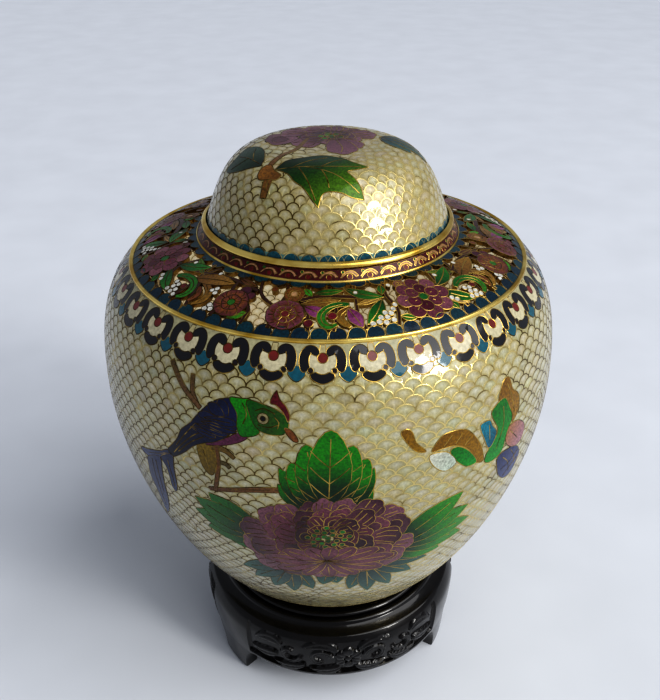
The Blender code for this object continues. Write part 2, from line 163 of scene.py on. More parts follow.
def curve(p0, p1, p2, p3, count):
    """Points of a cubic curve, both ends included."""
    t = np.linspace(0, 1, count + 1)[:, None]
    return ((1 - t) ** 3 * np.array(p0, float) + 3 * t * (1 - t) ** 2 * np.array(p1, float)
            + 3 * t * t * (1 - t) * np.array(p2, float) + t ** 3 * np.array(p3, float))


class Wall:
    """A turned wall, with places on it given by azimuth and distance along its outline."""

    def __init__(self, outline):
        self.outline = np.array(outline, float)
        self.r, self.z = self.outline.T
        self.s = np.concatenate([[0], np.cumsum(np.hypot(np.diff(self.r), np.diff(self.z)))])
        along_r, along_z = np.gradient(self.r, self.s), np.gradient(self.z, self.s)
        length = np.hypot(along_r, along_z)
        self.out_r, self.out_z = along_z / length, -along_r / length

    def profile(self, s, out=0.0):
        """Radius and height at a distance, moved out square to the wall."""
        return (np.interp(s, self.s, self.r) + out * np.interp(s, self.s, self.out_r),
                np.interp(s, self.s, self.z) + out * np.interp(s, self.s, self.out_z))

    def per_degree(self, s):
        """Millimetres round the wall in one degree."""
        return np.radians(np.interp(s, self.s, self.r))

    def place(self, azimuth, s, out=0.0):
        """The point in space, in metres, of a place on the wall."""
        r, z = self.profile(s, out)
        turn = np.radians(azimuth)
        return np.stack([r * np.sin(turn), -r * np.cos(turn), z + 0 * turn], -1) * MM

    def moved(self, out):
        """The wall's outline moved out, or in where out is negative."""
        return np.stack(self.profile(self.s, out), -1)


class Sheet:
    """A stretch of a wall unrolled: x round it in millimetres, true at its middle, and y the distance."""

    def __init__(self, wall, middle):
        self.wall, self.scale = wall, wall.per_degree(middle)

    def flat(self, places):
        return np.stack([places[:, 0] * self.scale, places[:, 1]], -1)

    def at(self, *places):
        """Sheet points of (azimuth, distance) places."""
        return self.flat(np.array(places, float))

    def stretch(self, points):
        """How much wider than drawn the sheet is there."""
        return self.wall.per_degree(points[..., 1]) / self.scale

    def place(self, points, out):
        return self.wall.place(points[..., 0] / self.scale, points[..., 1], out)


class Crown(Sheet):
    """The lid flattened from above: x and y in millimetres from its middle, along the surface."""

    def __init__(self, wall):
        self.wall, self.whole = wall, wall.s[-1]

    def flat(self, places):
        turn, reach = np.radians(places[:, 0]), self.whole - places[:, 1]
        return np.stack([reach * np.sin(turn), -reach * np.cos(turn)], -1)

    def stretch(self, points):
        return np.ones(points.shape[:-1])

    def place(self, points, out):
        x, y = points[..., 0], points[..., 1]
        return self.wall.place(np.degrees(np.arctan2(x, -y)), self.whole - np.hypot(x, y), out)


lower_outline = curve((JAR_FOOT_RADIUS, JAR_BASE),
                      (JAR_FOOT_RADIUS + FOOT_HANDLE[0] * (BELLY_RADIUS - JAR_FOOT_RADIUS),
                       JAR_BASE + FOOT_HANDLE[1] * (BELLY - JAR_BASE)),
                      (BELLY_RADIUS, BELLY - BELLY_HANDLES[0] * (BELLY - JAR_BASE)),
                      (BELLY_RADIUS, BELLY), 90)
upper_outline = curve((BELLY_RADIUS, BELLY), (BELLY_RADIUS, BELLY + BELLY_HANDLES[1] * (COLLAR - BELLY)),
                      (COLLAR_RADIUS + COLLAR_HANDLE[0] * (BELLY_RADIUS - COLLAR_RADIUS),
                       COLLAR - COLLAR_HANDLE[1] * (COLLAR - BELLY)),
                      (COLLAR_RADIUS, COLLAR), 90)
BODY = Wall(np.vstack([lower_outline, upper_outline[1:]]))

crown_radius = CROWN_SHARE * LID_RADIUS
crown_handle = CROWN_HANDLE * LID_RADIUS
crown_z = lid_high.z - CROWN_RISE
lid_side = curve((LID_RADIUS, lid_low.z),
                 (LID_RADIUS * SIDE_HANDLE[0], lid_low.z + SIDE_HANDLE[1] * (lid_high.z - lid_low.z)),
                 (crown_radius + crown_handle, crown_z - crown_handle * 2 * CROWN_RISE / crown_radius),
                 (crown_radius, crown_z), 70)
crown_shares = np.linspace(1, 0, 25)[1:]
lid_top = np.stack([crown_radius * crown_shares, crown_z + CROWN_RISE * (1 - crown_shares ** 2)], -1)
LID = Wall(np.vstack([lid_side, lid_top]))


# Gathering meshes

class Stock:
    """Points, triangles and the colours of their corners, gathered for one piece."""

    def __init__(self):
        self.points, self.faces, self.tints, self.count = [], [], [], 0

    def add(self, points, faces, tint):
        """Add triangles, with one colour, a colour for each point or one for each corner."""
        points = np.asarray(points, float).reshape(-1, 3)
        faces = np.asarray(faces, int).reshape(-1, 3)
        tint = np.asarray(tint, float)
        if tint.ndim < 3:
            tint = np.broadcast_to(tint, points.shape)[faces]
        self.points.append(points)
        self.faces.append(faces + self.count)
        self.tints.append(tint)
        self.count += len(points)

    def piece(self, name, material, slot, sharp=40.0, weld=False):
        """The finished piece; welding joins points that lie on each other."""
        mesh = bpy.data.meshes.new(name)
        mesh.from_pydata(np.concatenate(self.points).tolist(), [], np.concatenate(self.faces).tolist())
        tints = np.concatenate(self.tints).reshape(-1, 3)
        attribute = mesh.attributes.new("tint", "FLOAT_COLOR", "CORNER")
        attribute.data.foreach_set("color", np.hstack([tints, np.ones((len(tints), 1))]).ravel())
        if weld:
            whole = bmesh.new()
            whole.from_mesh(mesh)
            bmesh.ops.remove_doubles(whole, verts=whole.verts, dist=MERGE)
            whole.to_mesh(mesh)
            whole.free()
        mesh.shade_smooth()
        mesh.set_sharp_from_angle(angle=math.radians(sharp))
        obj = bpy.data.objects.new(name, mesh)
        bpy.context.scene.collection.objects.link(obj)
        dress(obj, material, slot)


def dress(obj, material, slot, *nodes):
    """Give a finished piece its material, its place in the frame and the nodes it stands for; the slot is not
    used.
    """
    obj.data.materials.clear()
    obj.data.materials.append(material)
    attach(obj, "root")
    if nodes:
        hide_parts(*nodes)


def turned(name, outline, closed=False):
    """Turn an outline of (radius, height) points: a circle drawn out and resized ring by ring."""
    outline = [tuple(p) for p in outline] + ([tuple(outline[0])] if closed else [])
    bpy.ops.mesh.primitive_circle_add(vertices=SIDES, radius=outline[0][0] * MM,
                                      location=(0, 0, outline[0][1] * MM))
    obj = bpy.context.object
    obj.name = obj.data.name = name
    bpy.ops.object.transform_apply(location=True)
    bpy.ops.object.mode_set(mode="EDIT")
    bpy.ops.mesh.select_all(action="SELECT")
    for (r0, z0), (r1, z1) in zip(outline, outline[1:]):
        bpy.ops.mesh.extrude_region_move(TRANSFORM_OT_translate={"value": (0, 0, (z1 - z0) * MM)})
        bpy.ops.transform.resize(value=(r1 / r0, r1 / r0, 1))
    bpy.ops.mesh.select_all(action="SELECT")
    bpy.ops.mesh.remove_doubles(threshold=MERGE)
    bpy.ops.mesh.normals_make_consistent(inside=False)
    bpy.ops.object.mode_set(mode="OBJECT")
    bpy.ops.object.shade_smooth_by_angle(angle=math.radians(40))
    obj.select_set(False)
    return obj


def strip_faces(rows, columns, closed_rows=False, closed_columns=False):
    """Triangles of a grid of points, rows by columns."""
    row = np.arange(rows if closed_rows else rows - 1)
    column = np.arange(columns if closed_columns else columns - 1)
    i, j = np.meshgrid(row, column, indexing="ij")
    up, on = (i + 1) % rows, (j + 1) % columns
    a, b, c, d = i * columns + j, i * columns + on, up * columns + on, up * columns + j
    return np.concatenate([np.stack([a, b, c], -1).reshape(-1, 3), np.stack([a, c, d], -1).reshape(-1, 3)])


def add_wires(stock, sheet, paths, width, low, high):
    """Three-sided wires laid along paths (how many, points, 2) from low to high over the wall."""
    paths = np.asarray(paths, float)
    stretch = sheet.stretch(paths)[..., None] * (1, 0) + (0, 1)
    step = np.gradient(paths, axis=1) * stretch
    step /= np.maximum(np.linalg.norm(step, axis=-1, keepdims=True), 1e-9)
    side = np.stack([-step[..., 1], step[..., 0]], -1) * width / 2 / stretch
    how_many, count = paths.shape[:2]
    ring = np.stack([sheet.place(paths - side, low), sheet.place(paths, high),
                     sheet.place(paths + side, low)], 2)
    last = 3 * (count - 1)
    faces = np.concatenate([strip_faces(count, 3, closed_columns=True),
                            [(0, 2, 1), (last, last + 1, last + 2)]])
    offsets = (np.arange(how_many) * count * 3)[:, None, None]
    stock.add(ring.reshape(-1, 3), faces[:, ::-1] + offsets, (1, 1, 1))


def dense(outline, step):
    """A closed outline with a point at least every step."""
    points = []
    for a, b in zip(outline, np.roll(outline, -1, 0)):
        parts = max(1, math.ceil(np.hypot(*(b - a)) / step))
        points += [a + (b - a) * i / parts for i in range(parts)]
    return np.array(points)


def smooth(points, closed=True, tips=()):
    """A curve through points, four steps from one to the next, with sharp corners at the tips."""
    points = np.asarray(points, float)
    count = len(points)
    made = []
    for i in range(count if closed else count - 1):
        p1, p2 = points[i], points[(i + 1) % count]
        p0 = points[(i - 1) % count] if closed or i > 0 else p1
        p3 = points[(i + 2) % count] if closed or i + 2 < count else p2
        m1 = 0 * p1 if i in tips else (p2 - p0) / 2
        m2 = 0 * p2 if (i + 1) % count in tips else (p3 - p1) / 2
        for t in (0, 0.25, 0.5, 0.75):
            made.append((2 * t ** 3 - 3 * t * t + 1) * p1 + (t ** 3 - 2 * t * t + t) * m1
                        + (3 * t * t - 2 * t ** 3) * p2 + (t ** 3 - t * t) * m2)
    if not closed:
        made.append(points[-1])
    return np.array(made)


def inside(outline, points):
    """Which points lie inside a closed outline."""
    x, y = points[:, 0, None], points[:, 1, None]
    a, b = outline, np.roll(outline, -1, 0)
    crosses = (a[:, 1] > y) != (b[:, 1] > y)
    span = np.where(b[:, 1] == a[:, 1], 1e-12, b[:, 1] - a[:, 1])
    return (crosses & (x < (b[:, 0] - a[:, 0]) * (y - a[:, 1]) / span + a[:, 0])).sum(1) % 2 == 1


def edge_distance(outline, points):
    """How far each point is from a closed outline."""
    a, b = outline, np.roll(outline, -1, 0)
    run = b - a
    share = np.clip(((points[:, None] - a) * run).sum(-1) / np.maximum((run * run).sum(-1), 1e-12), 0, 1)
    return np.linalg.norm(points[:, None] - a - share[..., None] * run, axis=-1).min(1)


def boxed(outline, points, margin=0.0):
    """Which points lie in an outline's box, widened by a margin."""
    return ((points > outline.min(0) - margin) & (points < outline.max(0) + margin)).all(1)


def direction(degrees):
    """The unit vector at an angle from the sheet's x."""
    return np.array([math.cos(math.radians(degrees)), math.sin(math.radians(degrees))])


def left_of(way):
    """The unit vector square to a way, on its left."""
    return np.array([-way[1], way[0]]) / np.hypot(*way)


def between(base, tip, *shares):
    """Points at shares of the line from base to tip."""
    return np.array([base + (np.array(tip) - base) * share for share in shares])


BLADE_PARTS = 9


def blade(base, tip, width, full, point, sway=0.0):
    """Outline of a leaf or feather from base to tip, fullest at a share of its length, swayed to its left."""
    base, tip = np.array(base, float), np.array(tip, float)
    way = tip - base
    left = left_of(way)
    t = (1 - np.cos(np.linspace(0, math.pi, BLADE_PARTS + 1)))[:, None] / 2
    rising = np.sin(math.pi / 2 * np.clip(t / full, 0, 1)) ** 0.9
    falling = np.cos(math.pi / 2 * np.clip((t - full) / (1 - full), 0, 1)) ** point
    middle = base + t * way + left * sway * np.sin(math.pi * t)
    half = left * rising * falling * width / 2
    return np.vstack([middle - half, (middle + half)[-2:0:-1]])


def fan_petal(base, tip, width, lobes=3):
    """Outline of a petal that widens from its base to a rounded end with lobes."""
    base, tip = np.array(base, float), np.array(tip, float)
    way = tip - base
    left = left_of(way)
    a = np.linspace(-math.pi / 2, math.pi / 2, 5 * lobes + 1)[:, None]
    reach = 0.88 + 0.12 * np.abs(np.sin(lobes * (a + math.pi / 2)))
    crown = base + way * (0.6 + 0.4 * np.cos(a) * reach) + left * width / 2 * np.sin(a) * reach
    t = np.linspace(0, 1, 6)[1:-1, None]
    side = 0.88 * np.sin(math.pi / 2 * t) ** 0.85
    return np.vstack([base, base + way * 0.6 * t - left * width / 2 * side, crown,
                      (base + way * 0.6 * t + left * width / 2 * side)[::-1]])


def disc(middle, radius, points=14):
    """Outline of a round cell."""
    angles = np.linspace(0, math.tau, points, endpoint=False)
    return np.array(middle) + radius * np.stack([np.cos(angles), np.sin(angles)], -1)


def ribbon(path, widths):
    """Outline of a ribbon along a path, with its width at each point."""
    path = np.asarray(path, float)
    way = np.gradient(path, axis=0)
    left = np.stack([-way[:, 1], way[:, 0]], -1) / np.hypot(*way.T)[:, None]
    half = left * np.broadcast_to(widths, len(path))[:, None] / 2
    return np.vstack([path - half, (path + half)[::-1]])


def runs(kept):
    """First and last index of each unbroken run that is kept."""
    edges = np.flatnonzero(np.diff(np.concatenate([[0], kept.astype(int), [0]])))
    return zip(edges[::2], edges[1::2])


class Drawing:
    """Cells of coloured enamel drawn on a sheet, nearest first; later ones show where nothing covers them.

    A drawing with a count is one tile of a band that repeats round the wall, begun at an azimuth.
    """

    def __init__(self, sheet, step=1.2, count=1, start=0.0, middle=0.0):
        self.sheet, self.step, self.pitch, self.start = sheet, step, 360 / count, start
        self.half = self.pitch / 2 * sheet.scale if count > 1 else None
        self.turns = [start + i * self.pitch for i in range(count)]
        self.middle = middle
        self.outlines, self.tints, self.lines, self.bare = [], [], [], []

    def form(self, outline, tint, *lines, bare=False):
        """Add a form with the wires that cross it; a bare one has no wire along its edge."""
        outline = np.asarray(outline, float)
        ahead = np.roll(outline, -1, 0)
        turn = (outline[:, 0] * ahead[:, 1] - ahead[:, 0] * outline[:, 1]).sum()
        self.outlines.append(dense(outline if turn > 0 else outline[::-1], self.step))
        self.tints.append(linear(tint) if isinstance(tint, str) else tint)
        self.lines.append(lines)
        self.bare.append(bare)

    def on_seam(self, x):
        """Which places lie where one repeat meets the next."""
        return np.abs(np.abs(x) - self.half) < SEAM

    def covered(self, points, forms=None):
        """Which points lie inside the first forms, or inside any."""
        hidden = np.zeros(len(points), bool)
        for outline in self.outlines[:forms]:
            near = boxed(outline, points) & ~hidden
            hidden[near] = inside(outline, points[near])
        return hidden

    def hides(self, places):
        """Which (azimuth, distance) places it covers, all its repeats included."""
        half = self.pitch / 2
        azimuth = (places[:, 0] - self.start - self.middle + half) % self.pitch - half + self.middle
        return self.covered(self.sheet.flat(np.stack([azimuth, places[:, 1]], -1)))

    def cells(self, spacing):
        """Corners, triangles and the nearest form of each triangle."""
        corners = np.vstack(self.outlines)
        low, high = corners.min(0), corners.max(0)
        grid = np.stack(np.meshgrid(np.arange(low[0] + spacing / 2, high[0], spacing),
                                    np.arange(low[1] + spacing / 2, high[1], spacing)), -1).reshape(-1, 2)
        grid = grid[self.covered(grid)]
        near = np.zeros(len(grid), bool)
        for outline in self.outlines:
            close = boxed(outline, grid, spacing) & ~near
            near[close] = edge_distance(outline, grid[close]) < spacing * 0.42
        loops, start = [], 0
        for outline in self.outlines:
            loops.append(list(range(start, start + len(outline))))
            start += len(outline)
        corners, _, faces, _, _, owners = delaunay_2d_cdt(
            [Vector(p) for p in np.vstack([corners, grid[~near]])], [], loops, 1, 1e-4)
        kept = [i for i, owner in enumerate(owners) if owner]
        return (np.array([tuple(c) for c in corners]), np.array([tuple(faces[i]) for i in kept]),
                np.array([min(owners[i]) for i in kept]))

    def lay(self, enamel, wires, low, high, width=0.42, dish=0.04, spacing=1.9, plate=None):
        """Put the cells and their wires on the wall, once for each repeat round it."""
        corners, faces, owners = self.cells(spacing)
        edges = {}
        for face, owner in zip(faces.tolist(), owners.tolist()):
            for a, b in zip(face, face[1:] + face[:1]):
                edges[a, b] = owner
        rim = np.array([edge for edge in edges if edge[::-1] not in edges])
        parted = {a for (a, b), owner in edges.items() if edges.get((b, a)) != owner}
        lift = np.full(len(corners), high - dish)
        lift[list(parted | set(rim.ravel().tolist()))] = high
        if self.half:
            rim = rim[~self.on_seam(corners[rim, 0]).all(1)]
        tints = np.empty((len(faces), 3, 3))
        for i, tint in enumerate(self.tints):
            mine = owners == i
            tints[mine] = tint(corners[faces[mine]]) if callable(tint) else tint
        a, b = rim.T
        count = len(corners)
        walls = np.concatenate([np.stack([a + count, b + count, b], -1), np.stack([a + count, b, a], -1)])
        shell = np.concatenate([faces, faces[:, ::-1] + count, walls])
        tints = np.concatenate([tints, tints[:, ::-1], np.repeat(tints[:1], len(walls), 0)])
        layers = [(enamel, low, lift, tints)]
        if plate:
            stock, plate_low, plate_high = plate
            layers.append((stock, plate_low, np.full(count, plate_high), (1, 1, 1)))
        # A drawing on the lid's crown is laid once and has no turn.
        shifts = [(turn * self.sheet.scale, 0) if turn else (0, 0) for turn in self.turns]
        for shift in shifts:
            for stock, foot, top, tint in layers:
                over = self.sheet.place(corners + shift, top)
                under = self.sheet.place(corners + shift, np.full(count, foot))
                stock.add(np.concatenate([over, under]), shell, tint)
        for i, outline in enumerate(self.outlines):
            paths = [] if self.bare[i] else [np.vstack([outline, outline[:1]])]
            for path in paths + [smooth(line, closed=False) for line in self.lines[i]]:
                shown = ~self.covered(path, i)
                if self.half:
                    seam = self.on_seam(path[:, 0])
                    shown &= ~(seam & np.roll(seam, 1) & np.roll(seam, -1))
                for first, last in runs(shown):
                    if last - first > 1:
                        copies = [path[first:last] + shift for shift in shifts]
                        add_wires(wires, self.sheet, copies, width, high + WIRE_FOOT, high + WIRE_TOP)


# Fish scales

class Scales:
    """Rows of wire arches from one distance on a wall to another, each on the crowns of the row below."""

    def __init__(self, wall, low, high, seed, width=SCALE_WIDTH):
        rng = random.Random(seed)
        self.arches, self.cells = [], []
        count = round(360 * wall.per_degree(low) / width)
        feet = [(360 * i / count, low) for i in range(count)]
        below = [[feet[i], (360 * (i + 1) / count, low)] for i in range(count)]
        level = low
        phase = rng.uniform(0, math.tau)
        while level < high:
            level += SCALE_PITCH
            arches = []
            for lower in below:
                arch = self.arch(lower[0], lower[-1], level, phase, rng)
                arches.append(arch)
                self.arches.append(arch)
                self.cells.append(arch + lower[-2:0:-1])
            wanted = 360 * wall.per_degree(min(level, wall.s[-1] - 1)) / width
            below = self.skyline(arches, round(wanted) - len(arches), rng)
            phase += 0.25
            if len(below) < 5:
                break
        self.arches = np.array(self.arches)

    @staticmethod
    def arch(left, right, level, phase, rng):
        """The points of one arch, from foot to foot over a crown."""
        middle = (left[0] + right[0]) / 2
        wander = 0.35 * math.sin(3 * math.radians(middle) + phase) + rng.uniform(-0.12, 0.12)
        height = max(level + wander - (left[1] + right[1]) / 2, 0.45 * SCALE_PITCH)
        lean = rng.uniform(-0.05, 0.05) * (right[0] - left[0])
        points = []
        for i in range(ARCH_POINTS):
            angle = math.pi * i / (ARCH_POINTS - 1)
            share = (1 - math.cos(angle)) / 2
            points.append((left[0] + share * (right[0] - left[0]) + lean * math.sin(angle),
                           left[1] + share * (right[1] - left[1]) + height * math.sin(angle) ** 0.9))
        return points

    @staticmethod
    def skyline(arches, more, rng):
        """The lines between the next row's feet, which stand on the crowns; some are added or left out."""
        spans = []
        for i, arch in enumerate(arches):
            after = arches[(i + 1) % len(arches)]
            turn = 360 if i == len(arches) - 1 else 0
            crown = ARCH_POINTS // 2
            spans.append(arch[crown:] + [(a + turn, y) for a, y in after[1:crown + 1]])
        for _ in range(abs(more)):
            if more > 0:
                widths = [(s[-1][0] - s[0][0]) * rng.uniform(0.9, 1.1) for s in spans]
                i = widths.index(max(widths))
                notch = min(range(1, len(spans[i]) - 1), key=lambda k: spans[i][k][1])
                spans[i:i + 1] = [spans[i][:notch + 1], spans[i][notch:]]
            else:
                widths = [(b[-1][0] - a[0][0]) * rng.uniform(0.9, 1.1) for a, b in zip(spans, spans[1:])]
                i = widths.index(min(widths))
                spans[i:i + 2] = [spans[i] + spans[i + 1][1:]]
        return spans


def scale_tints(count, seed, base, spread):
    """A colour for each cell: the base, shifted a little in lightness and hue."""
    rng = np.random.default_rng(seed)
    light = 1 + spread * rng.normal(0, 1, (count, 1))
    hue = 1 + spread * 0.5 * rng.normal(0, 1, (count, 1)) * np.array([[0.6, 0.0, -1.0]])
    cast = 1 + spread * 0.35 * rng.normal(0, 1, (count, 1)) * np.array([[0.5, -0.6, 0.5]])
    return np.clip(linear(base) * light * hue * cast, 0, 1)


def add_cells(stock, wall, cells, tints, edge_tint, dish, out=0.0, shrink=0.0, inwards=False):
    """Each cell as a shallow dish: its outline and a lower middle."""
    points, faces, colours, start = [], [], [], 0
    for cell, tint in zip(cells, tints):
        ring = np.array(cell)
        middle = (ring[ARCH_POINTS // 2] + (ring[0] + ring[ARCH_POINTS - 1]) / 2) / 2
        ring = ring + (middle - ring) * shrink
        count = len(ring)
        points.append(np.vstack([middle, ring]))
        around = np.arange(count)
        faces.append(np.stack([np.zeros(count, int), (around + 1) % count + 1, around + 1], -1) + start)
        colours.append(np.vstack([tint, np.repeat((tint * edge_tint)[None], count, 0)]))
        start += count + 1
    points = np.concatenate(points)
    lift = np.full(len(points), out)
    lift[np.cumsum([0] + [len(c) for c in faces[:-1]]) + np.arange(len(faces))] -= dish
    faces = np.concatenate(faces)
    stock.add(wall.place(points[:, 0], points[:, 1], lift), faces[:, ::-1] if inwards else faces,
              np.concatenate(colours))


# Finishes

def add_node(tree, kind, inputs=None, **settings):
    """Add a node, set it up, and fill its inputs with values or with other nodes' outputs."""
    made = tree.nodes.new(kind)
    for name, value in settings.items():
        setattr(made, name, value)
    for name, value in (inputs or {}).items():
        if isinstance(value, bpy.types.NodeSocket):
            tree.links.new(value, made.inputs[name])
        else:
            made.inputs[name].default_value = value
    return made


def hex_colour(code):
    """A hex code as a node's colour."""
    return (*linear(code), 1.0)


def finish(name, metallic, roughness, coat, coat_roughness=0.06, emission=0.0, specular=0.5):
    """A new material with its constant values on the shader."""
    material = bpy.data.materials.new(name)
    material.use_nodes = True
    tree = material.node_tree
    shader = tree.nodes["Principled BSDF"]
    for socket, value in (("Metallic", metallic), ("Roughness", roughness), ("Coat Weight", coat),
                          ("Coat Roughness", coat_roughness), ("Emission Strength", emission),
                          ("Specular IOR Level", specular)):
        shader.inputs[socket].default_value = value
    return material, tree, shader


def grain(tree, millimetres, detail=2.0, stretch=(1, 1, 1)):
    """Noise whose features are about that many millimetres across."""
    place = add_node(tree, "ShaderNodeTexCoord").outputs["Object"]
    mapped = add_node(tree, "ShaderNodeMapping", {"Vector": place, "Scale": stretch}).outputs["Vector"]
    return add_node(tree, "ShaderNodeTexNoise", {"Vector": mapped, "Scale": 1 / (millimetres * MM),
                                                 "Detail": detail}).outputs["Fac"]


def stretched(tree, value, low, high, new_low, new_high):
    """A value's range from low to high, stretched to a new one."""
    return add_node(tree, "ShaderNodeMapRange", {"Value": value, "From Min": low, "From Max": high,
                                                 "To Min": new_low, "To Max": new_high}).outputs["Result"]


def reckoned(tree, operation, *values):
    """The outcome of a sum on one or two values."""
    return add_node(tree, "ShaderNodeMath", dict(enumerate(values)), operation=operation).outputs["Value"]


def mottle(tree, shader, colour, amount, dark, light):
    """Base colour multiplied by a grey that runs from dark to light with the noise."""
    ramp = stretched(tree, amount, 0.3, 0.7, dark, light)
    mixed = add_node(tree, "ShaderNodeVectorMath", {0: colour, 1: ramp},
                     operation="MULTIPLY").outputs["Vector"]
    tree.links.new(mixed, shader.inputs["Base Color"])


def bump(tree, shader, height, distance):
    """Relief of the finish, as many millimetres deep as the distance."""
    bumped = add_node(tree, "ShaderNodeBump", {"Height": height, "Distance": distance * MM, "Strength": 1.0})
    tree.links.new(bumped.outputs["Normal"], shader.inputs["Normal"])


def enamel(name, metallic, roughness, coat, flecks, rise, depth=(0.80, 1.18), emission=0.0, specular=0.5):
    """Enamel in the colours of its cells, over foil whose hammered grain shows as light and dark flecks.

    Flecks and rise are in millimetres; the depth says how dark and how light the flecks make the colour.
    """
    material, tree, shader = finish(name, metallic, roughness, coat, emission=emission, specular=specular)
    tint = add_node(tree, "ShaderNodeAttribute", attribute_name="tint").outputs["Color"]
    mottle(tree, shader, tint, grain(tree, flecks, 3.0), *depth)
    bump(tree, shader, grain(tree, flecks * 1.4, 2.0), rise)
    if emission:
        tree.links.new(tint, shader.inputs["Emission Color"])
    return material


PAINTED_HIGHLIGHT_X = 28.0                                # how far right of the middle the wires are painted brightest: a painted highlight


def metal(name, dark, light, roughness, patches, rise, painted_shade_sides=False, metallic=1.0):
    """Metal that runs from tarnish to bright gilding in patches of so many millimetres.

    With painted shade on the sides, the metal is painted darker away from a place right of the middle and
    brighter near it: painted shade and a painted highlight.
    """
    material, tree, shader = finish(name, metallic, roughness, 0.0)
    wear_and_painted_shade = grain(tree, patches, 3.0)
    # Painted shade and highlight: by its X, the metal is painted brighter near a place right of the middle
    # and darker towards the sides.
    if painted_shade_sides:
        place = add_node(tree, "ShaderNodeTexCoord").outputs["Object"]
        across = add_node(tree, "ShaderNodeSeparateXYZ", {"Vector": place}).outputs["X"]
        from_painted_highlight = reckoned(tree, "ABSOLUTE", reckoned(tree, "SUBTRACT", across, PAINTED_HIGHLIGHT_X * MM))
        wear_and_painted_shade = reckoned(tree, "ADD", wear_and_painted_shade, stretched(tree, from_painted_highlight, 8 * MM, 56 * MM, 0.12, -0.17))
    ramp = add_node(tree, "ShaderNodeValToRGB", {"Fac": wear_and_painted_shade})
    for element, position, code in zip(ramp.color_ramp.elements, (0.36, 0.58), (dark, light)):
        element.position = position
        element.color = hex_colour(code)
    tree.links.new(ramp.outputs["Color"], shader.inputs["Base Color"])
    bump(tree, shader, grain(tree, 0.6, 2.0), rise)
    return material


# Clear enamel over silver foil: pearly, with the foil's crinkle under a glassy surface.
# The crinkle is drawn at 0.9 mm, coarser than real, so that it shows.
foil_enamel = enamel("clear_enamel_over_foil", metallic=0.25, roughness=0.5, coat=1.0, flecks=0.9,
                     rise=0.035)
# Coloured enamel of the flowers, leaves and birds: deeper, glassy, less metallic.
colour_enamel = enamel("coloured_enamel", metallic=0.2, roughness=0.35, coat=0.35, flecks=0.8, rise=0.03,
                       depth=(0.26, 0.66), specular=0.2)
# Opaque enamel of the black, white and blue bands.
band_enamel = enamel("opaque_enamel", metallic=0.0, roughness=0.4, coat=0.8, flecks=1.2, rise=0.02,
                     depth=(0.5, 0.75), specular=0.2)
# White enamel inside, lit a little by the light that comes through the thin wall.
lining_enamel = enamel("lining_enamel", metallic=0.0, roughness=0.35, coat=0.4, flecks=1.1, rise=0.02,
                       emission=0.35)
# Drawn copper wire, gilded after the last firing; it is painted darker towards the jar's sides and brighter
# right of the middle, as painted shade and a painted highlight.
wire_metal = metal("gilt_copper_wire", "#54441f", "#c9b87e", roughness=0.34, patches=9.0, rise=0.01,
                   painted_shade_sides=True, metallic=0.7)
# Copper wall, gilded where it is not enamelled.
copper = metal("gilded_copper", "#5a452a", "#a88a56", roughness=0.34, patches=6.0, rise=0.012)
# The same wire where the pictures and the openwork were polished back to bright gilding, with the same
# painted shade towards the sides and painted highlight right of the middle.
picture_wire = metal("polished_gilt_wire", "#4c3c1a", "#bc9e54", roughness=0.32, patches=7.0, rise=0.01,
                     painted_shade_sides=True)
# Carved hardwood under black lacquer, worn to a reddish brown in places.
lacquer, lacquer_tree, lacquer_shader = finish("black_lacquered_wood", metallic=0.0, roughness=0.28,
                                               coat=0.6, coat_roughness=0.05, specular=0.15)
wood = add_node(lacquer_tree, "ShaderNodeRGB")
wood.outputs[0].default_value = hex_colour("#090605")
mottle(lacquer_tree, lacquer_shader, wood.outputs[0], grain(lacquer_tree, 5.0, 4.0), 0.45, 1.5)
bump(lacquer_tree, lacquer_shader, grain(lacquer_tree, 1.6, 3.0, (1, 1, 0.3)), 0.05)
# Polished gilding on the shoulder ring and the rims.
gilding = metal("polished_gilding", "#c09a3c", "#f2d882", roughness=0.28, patches=14.0, rise=0.008)


EDGE_WARMTH = linear("#d6c684") / linear("#fffaf0")    # how much yellower a cell is along its wires


# Jar

def add_scale_work(wall, scales, name, slot, base, wires, seed, covers):
    """The cells of a scaled ground as one piece, and so many of wires, which stop at the drawings on it."""
    def hidden(places):
        """Which places a drawing covers."""
        under = np.zeros(len(places), bool)
        for drawing in covers:
            under[~under] = drawing.hides(places[~under])
        return under

    tints = scale_tints(len(scales.cells), seed, base, spread=0.055)
    sizes = [len(cell) for cell in scales.cells]
    under = np.split(hidden(np.vstack([np.array(cell) for cell in scales.cells])), np.cumsum(sizes)[:-1])
    seen = [i for i, points in enumerate(under) if not points.all()]
    stock = Stock()
    add_cells(stock, wall, [scales.cells[i] for i in seen], tints[seen], EDGE_WARMTH, dish=0.13)
    stock.piece(name + "_cells", foil_enamel, slot)
    sheet = Sheet(wall, float(np.mean(scales.arches[..., 1])))
    paths = scales.arches * (sheet.scale, 1)
    shown = ~hidden(scales.arches.reshape(-1, 2)).reshape(paths.shape[:2])
    whole = shown.all(1)
    rest = [path[first:last] for path, points in zip(paths[~whole], shown[~whole])
            for first, last in runs(points) if last - first > 1]
    for i, part in enumerate(np.array_split(paths[whole], wires)):
        stock = Stock()
        add_wires(stock, sheet, part, WIRE, WIRE_FOOT, WIRE_TOP)
        for path in (rest if i == 0 else []):
            add_wires(stock, sheet, [path], WIRE, WIRE_FOOT, WIRE_TOP)
        stock.piece(f"{name}_wires_{i + 1}", wire_metal, slot)


def wall_points(wall, distances, out):
    """Points of an outline to turn, at distances along a wall."""
    return [tuple(float(v) for v in wall.profile(s, out)) for s in distances]


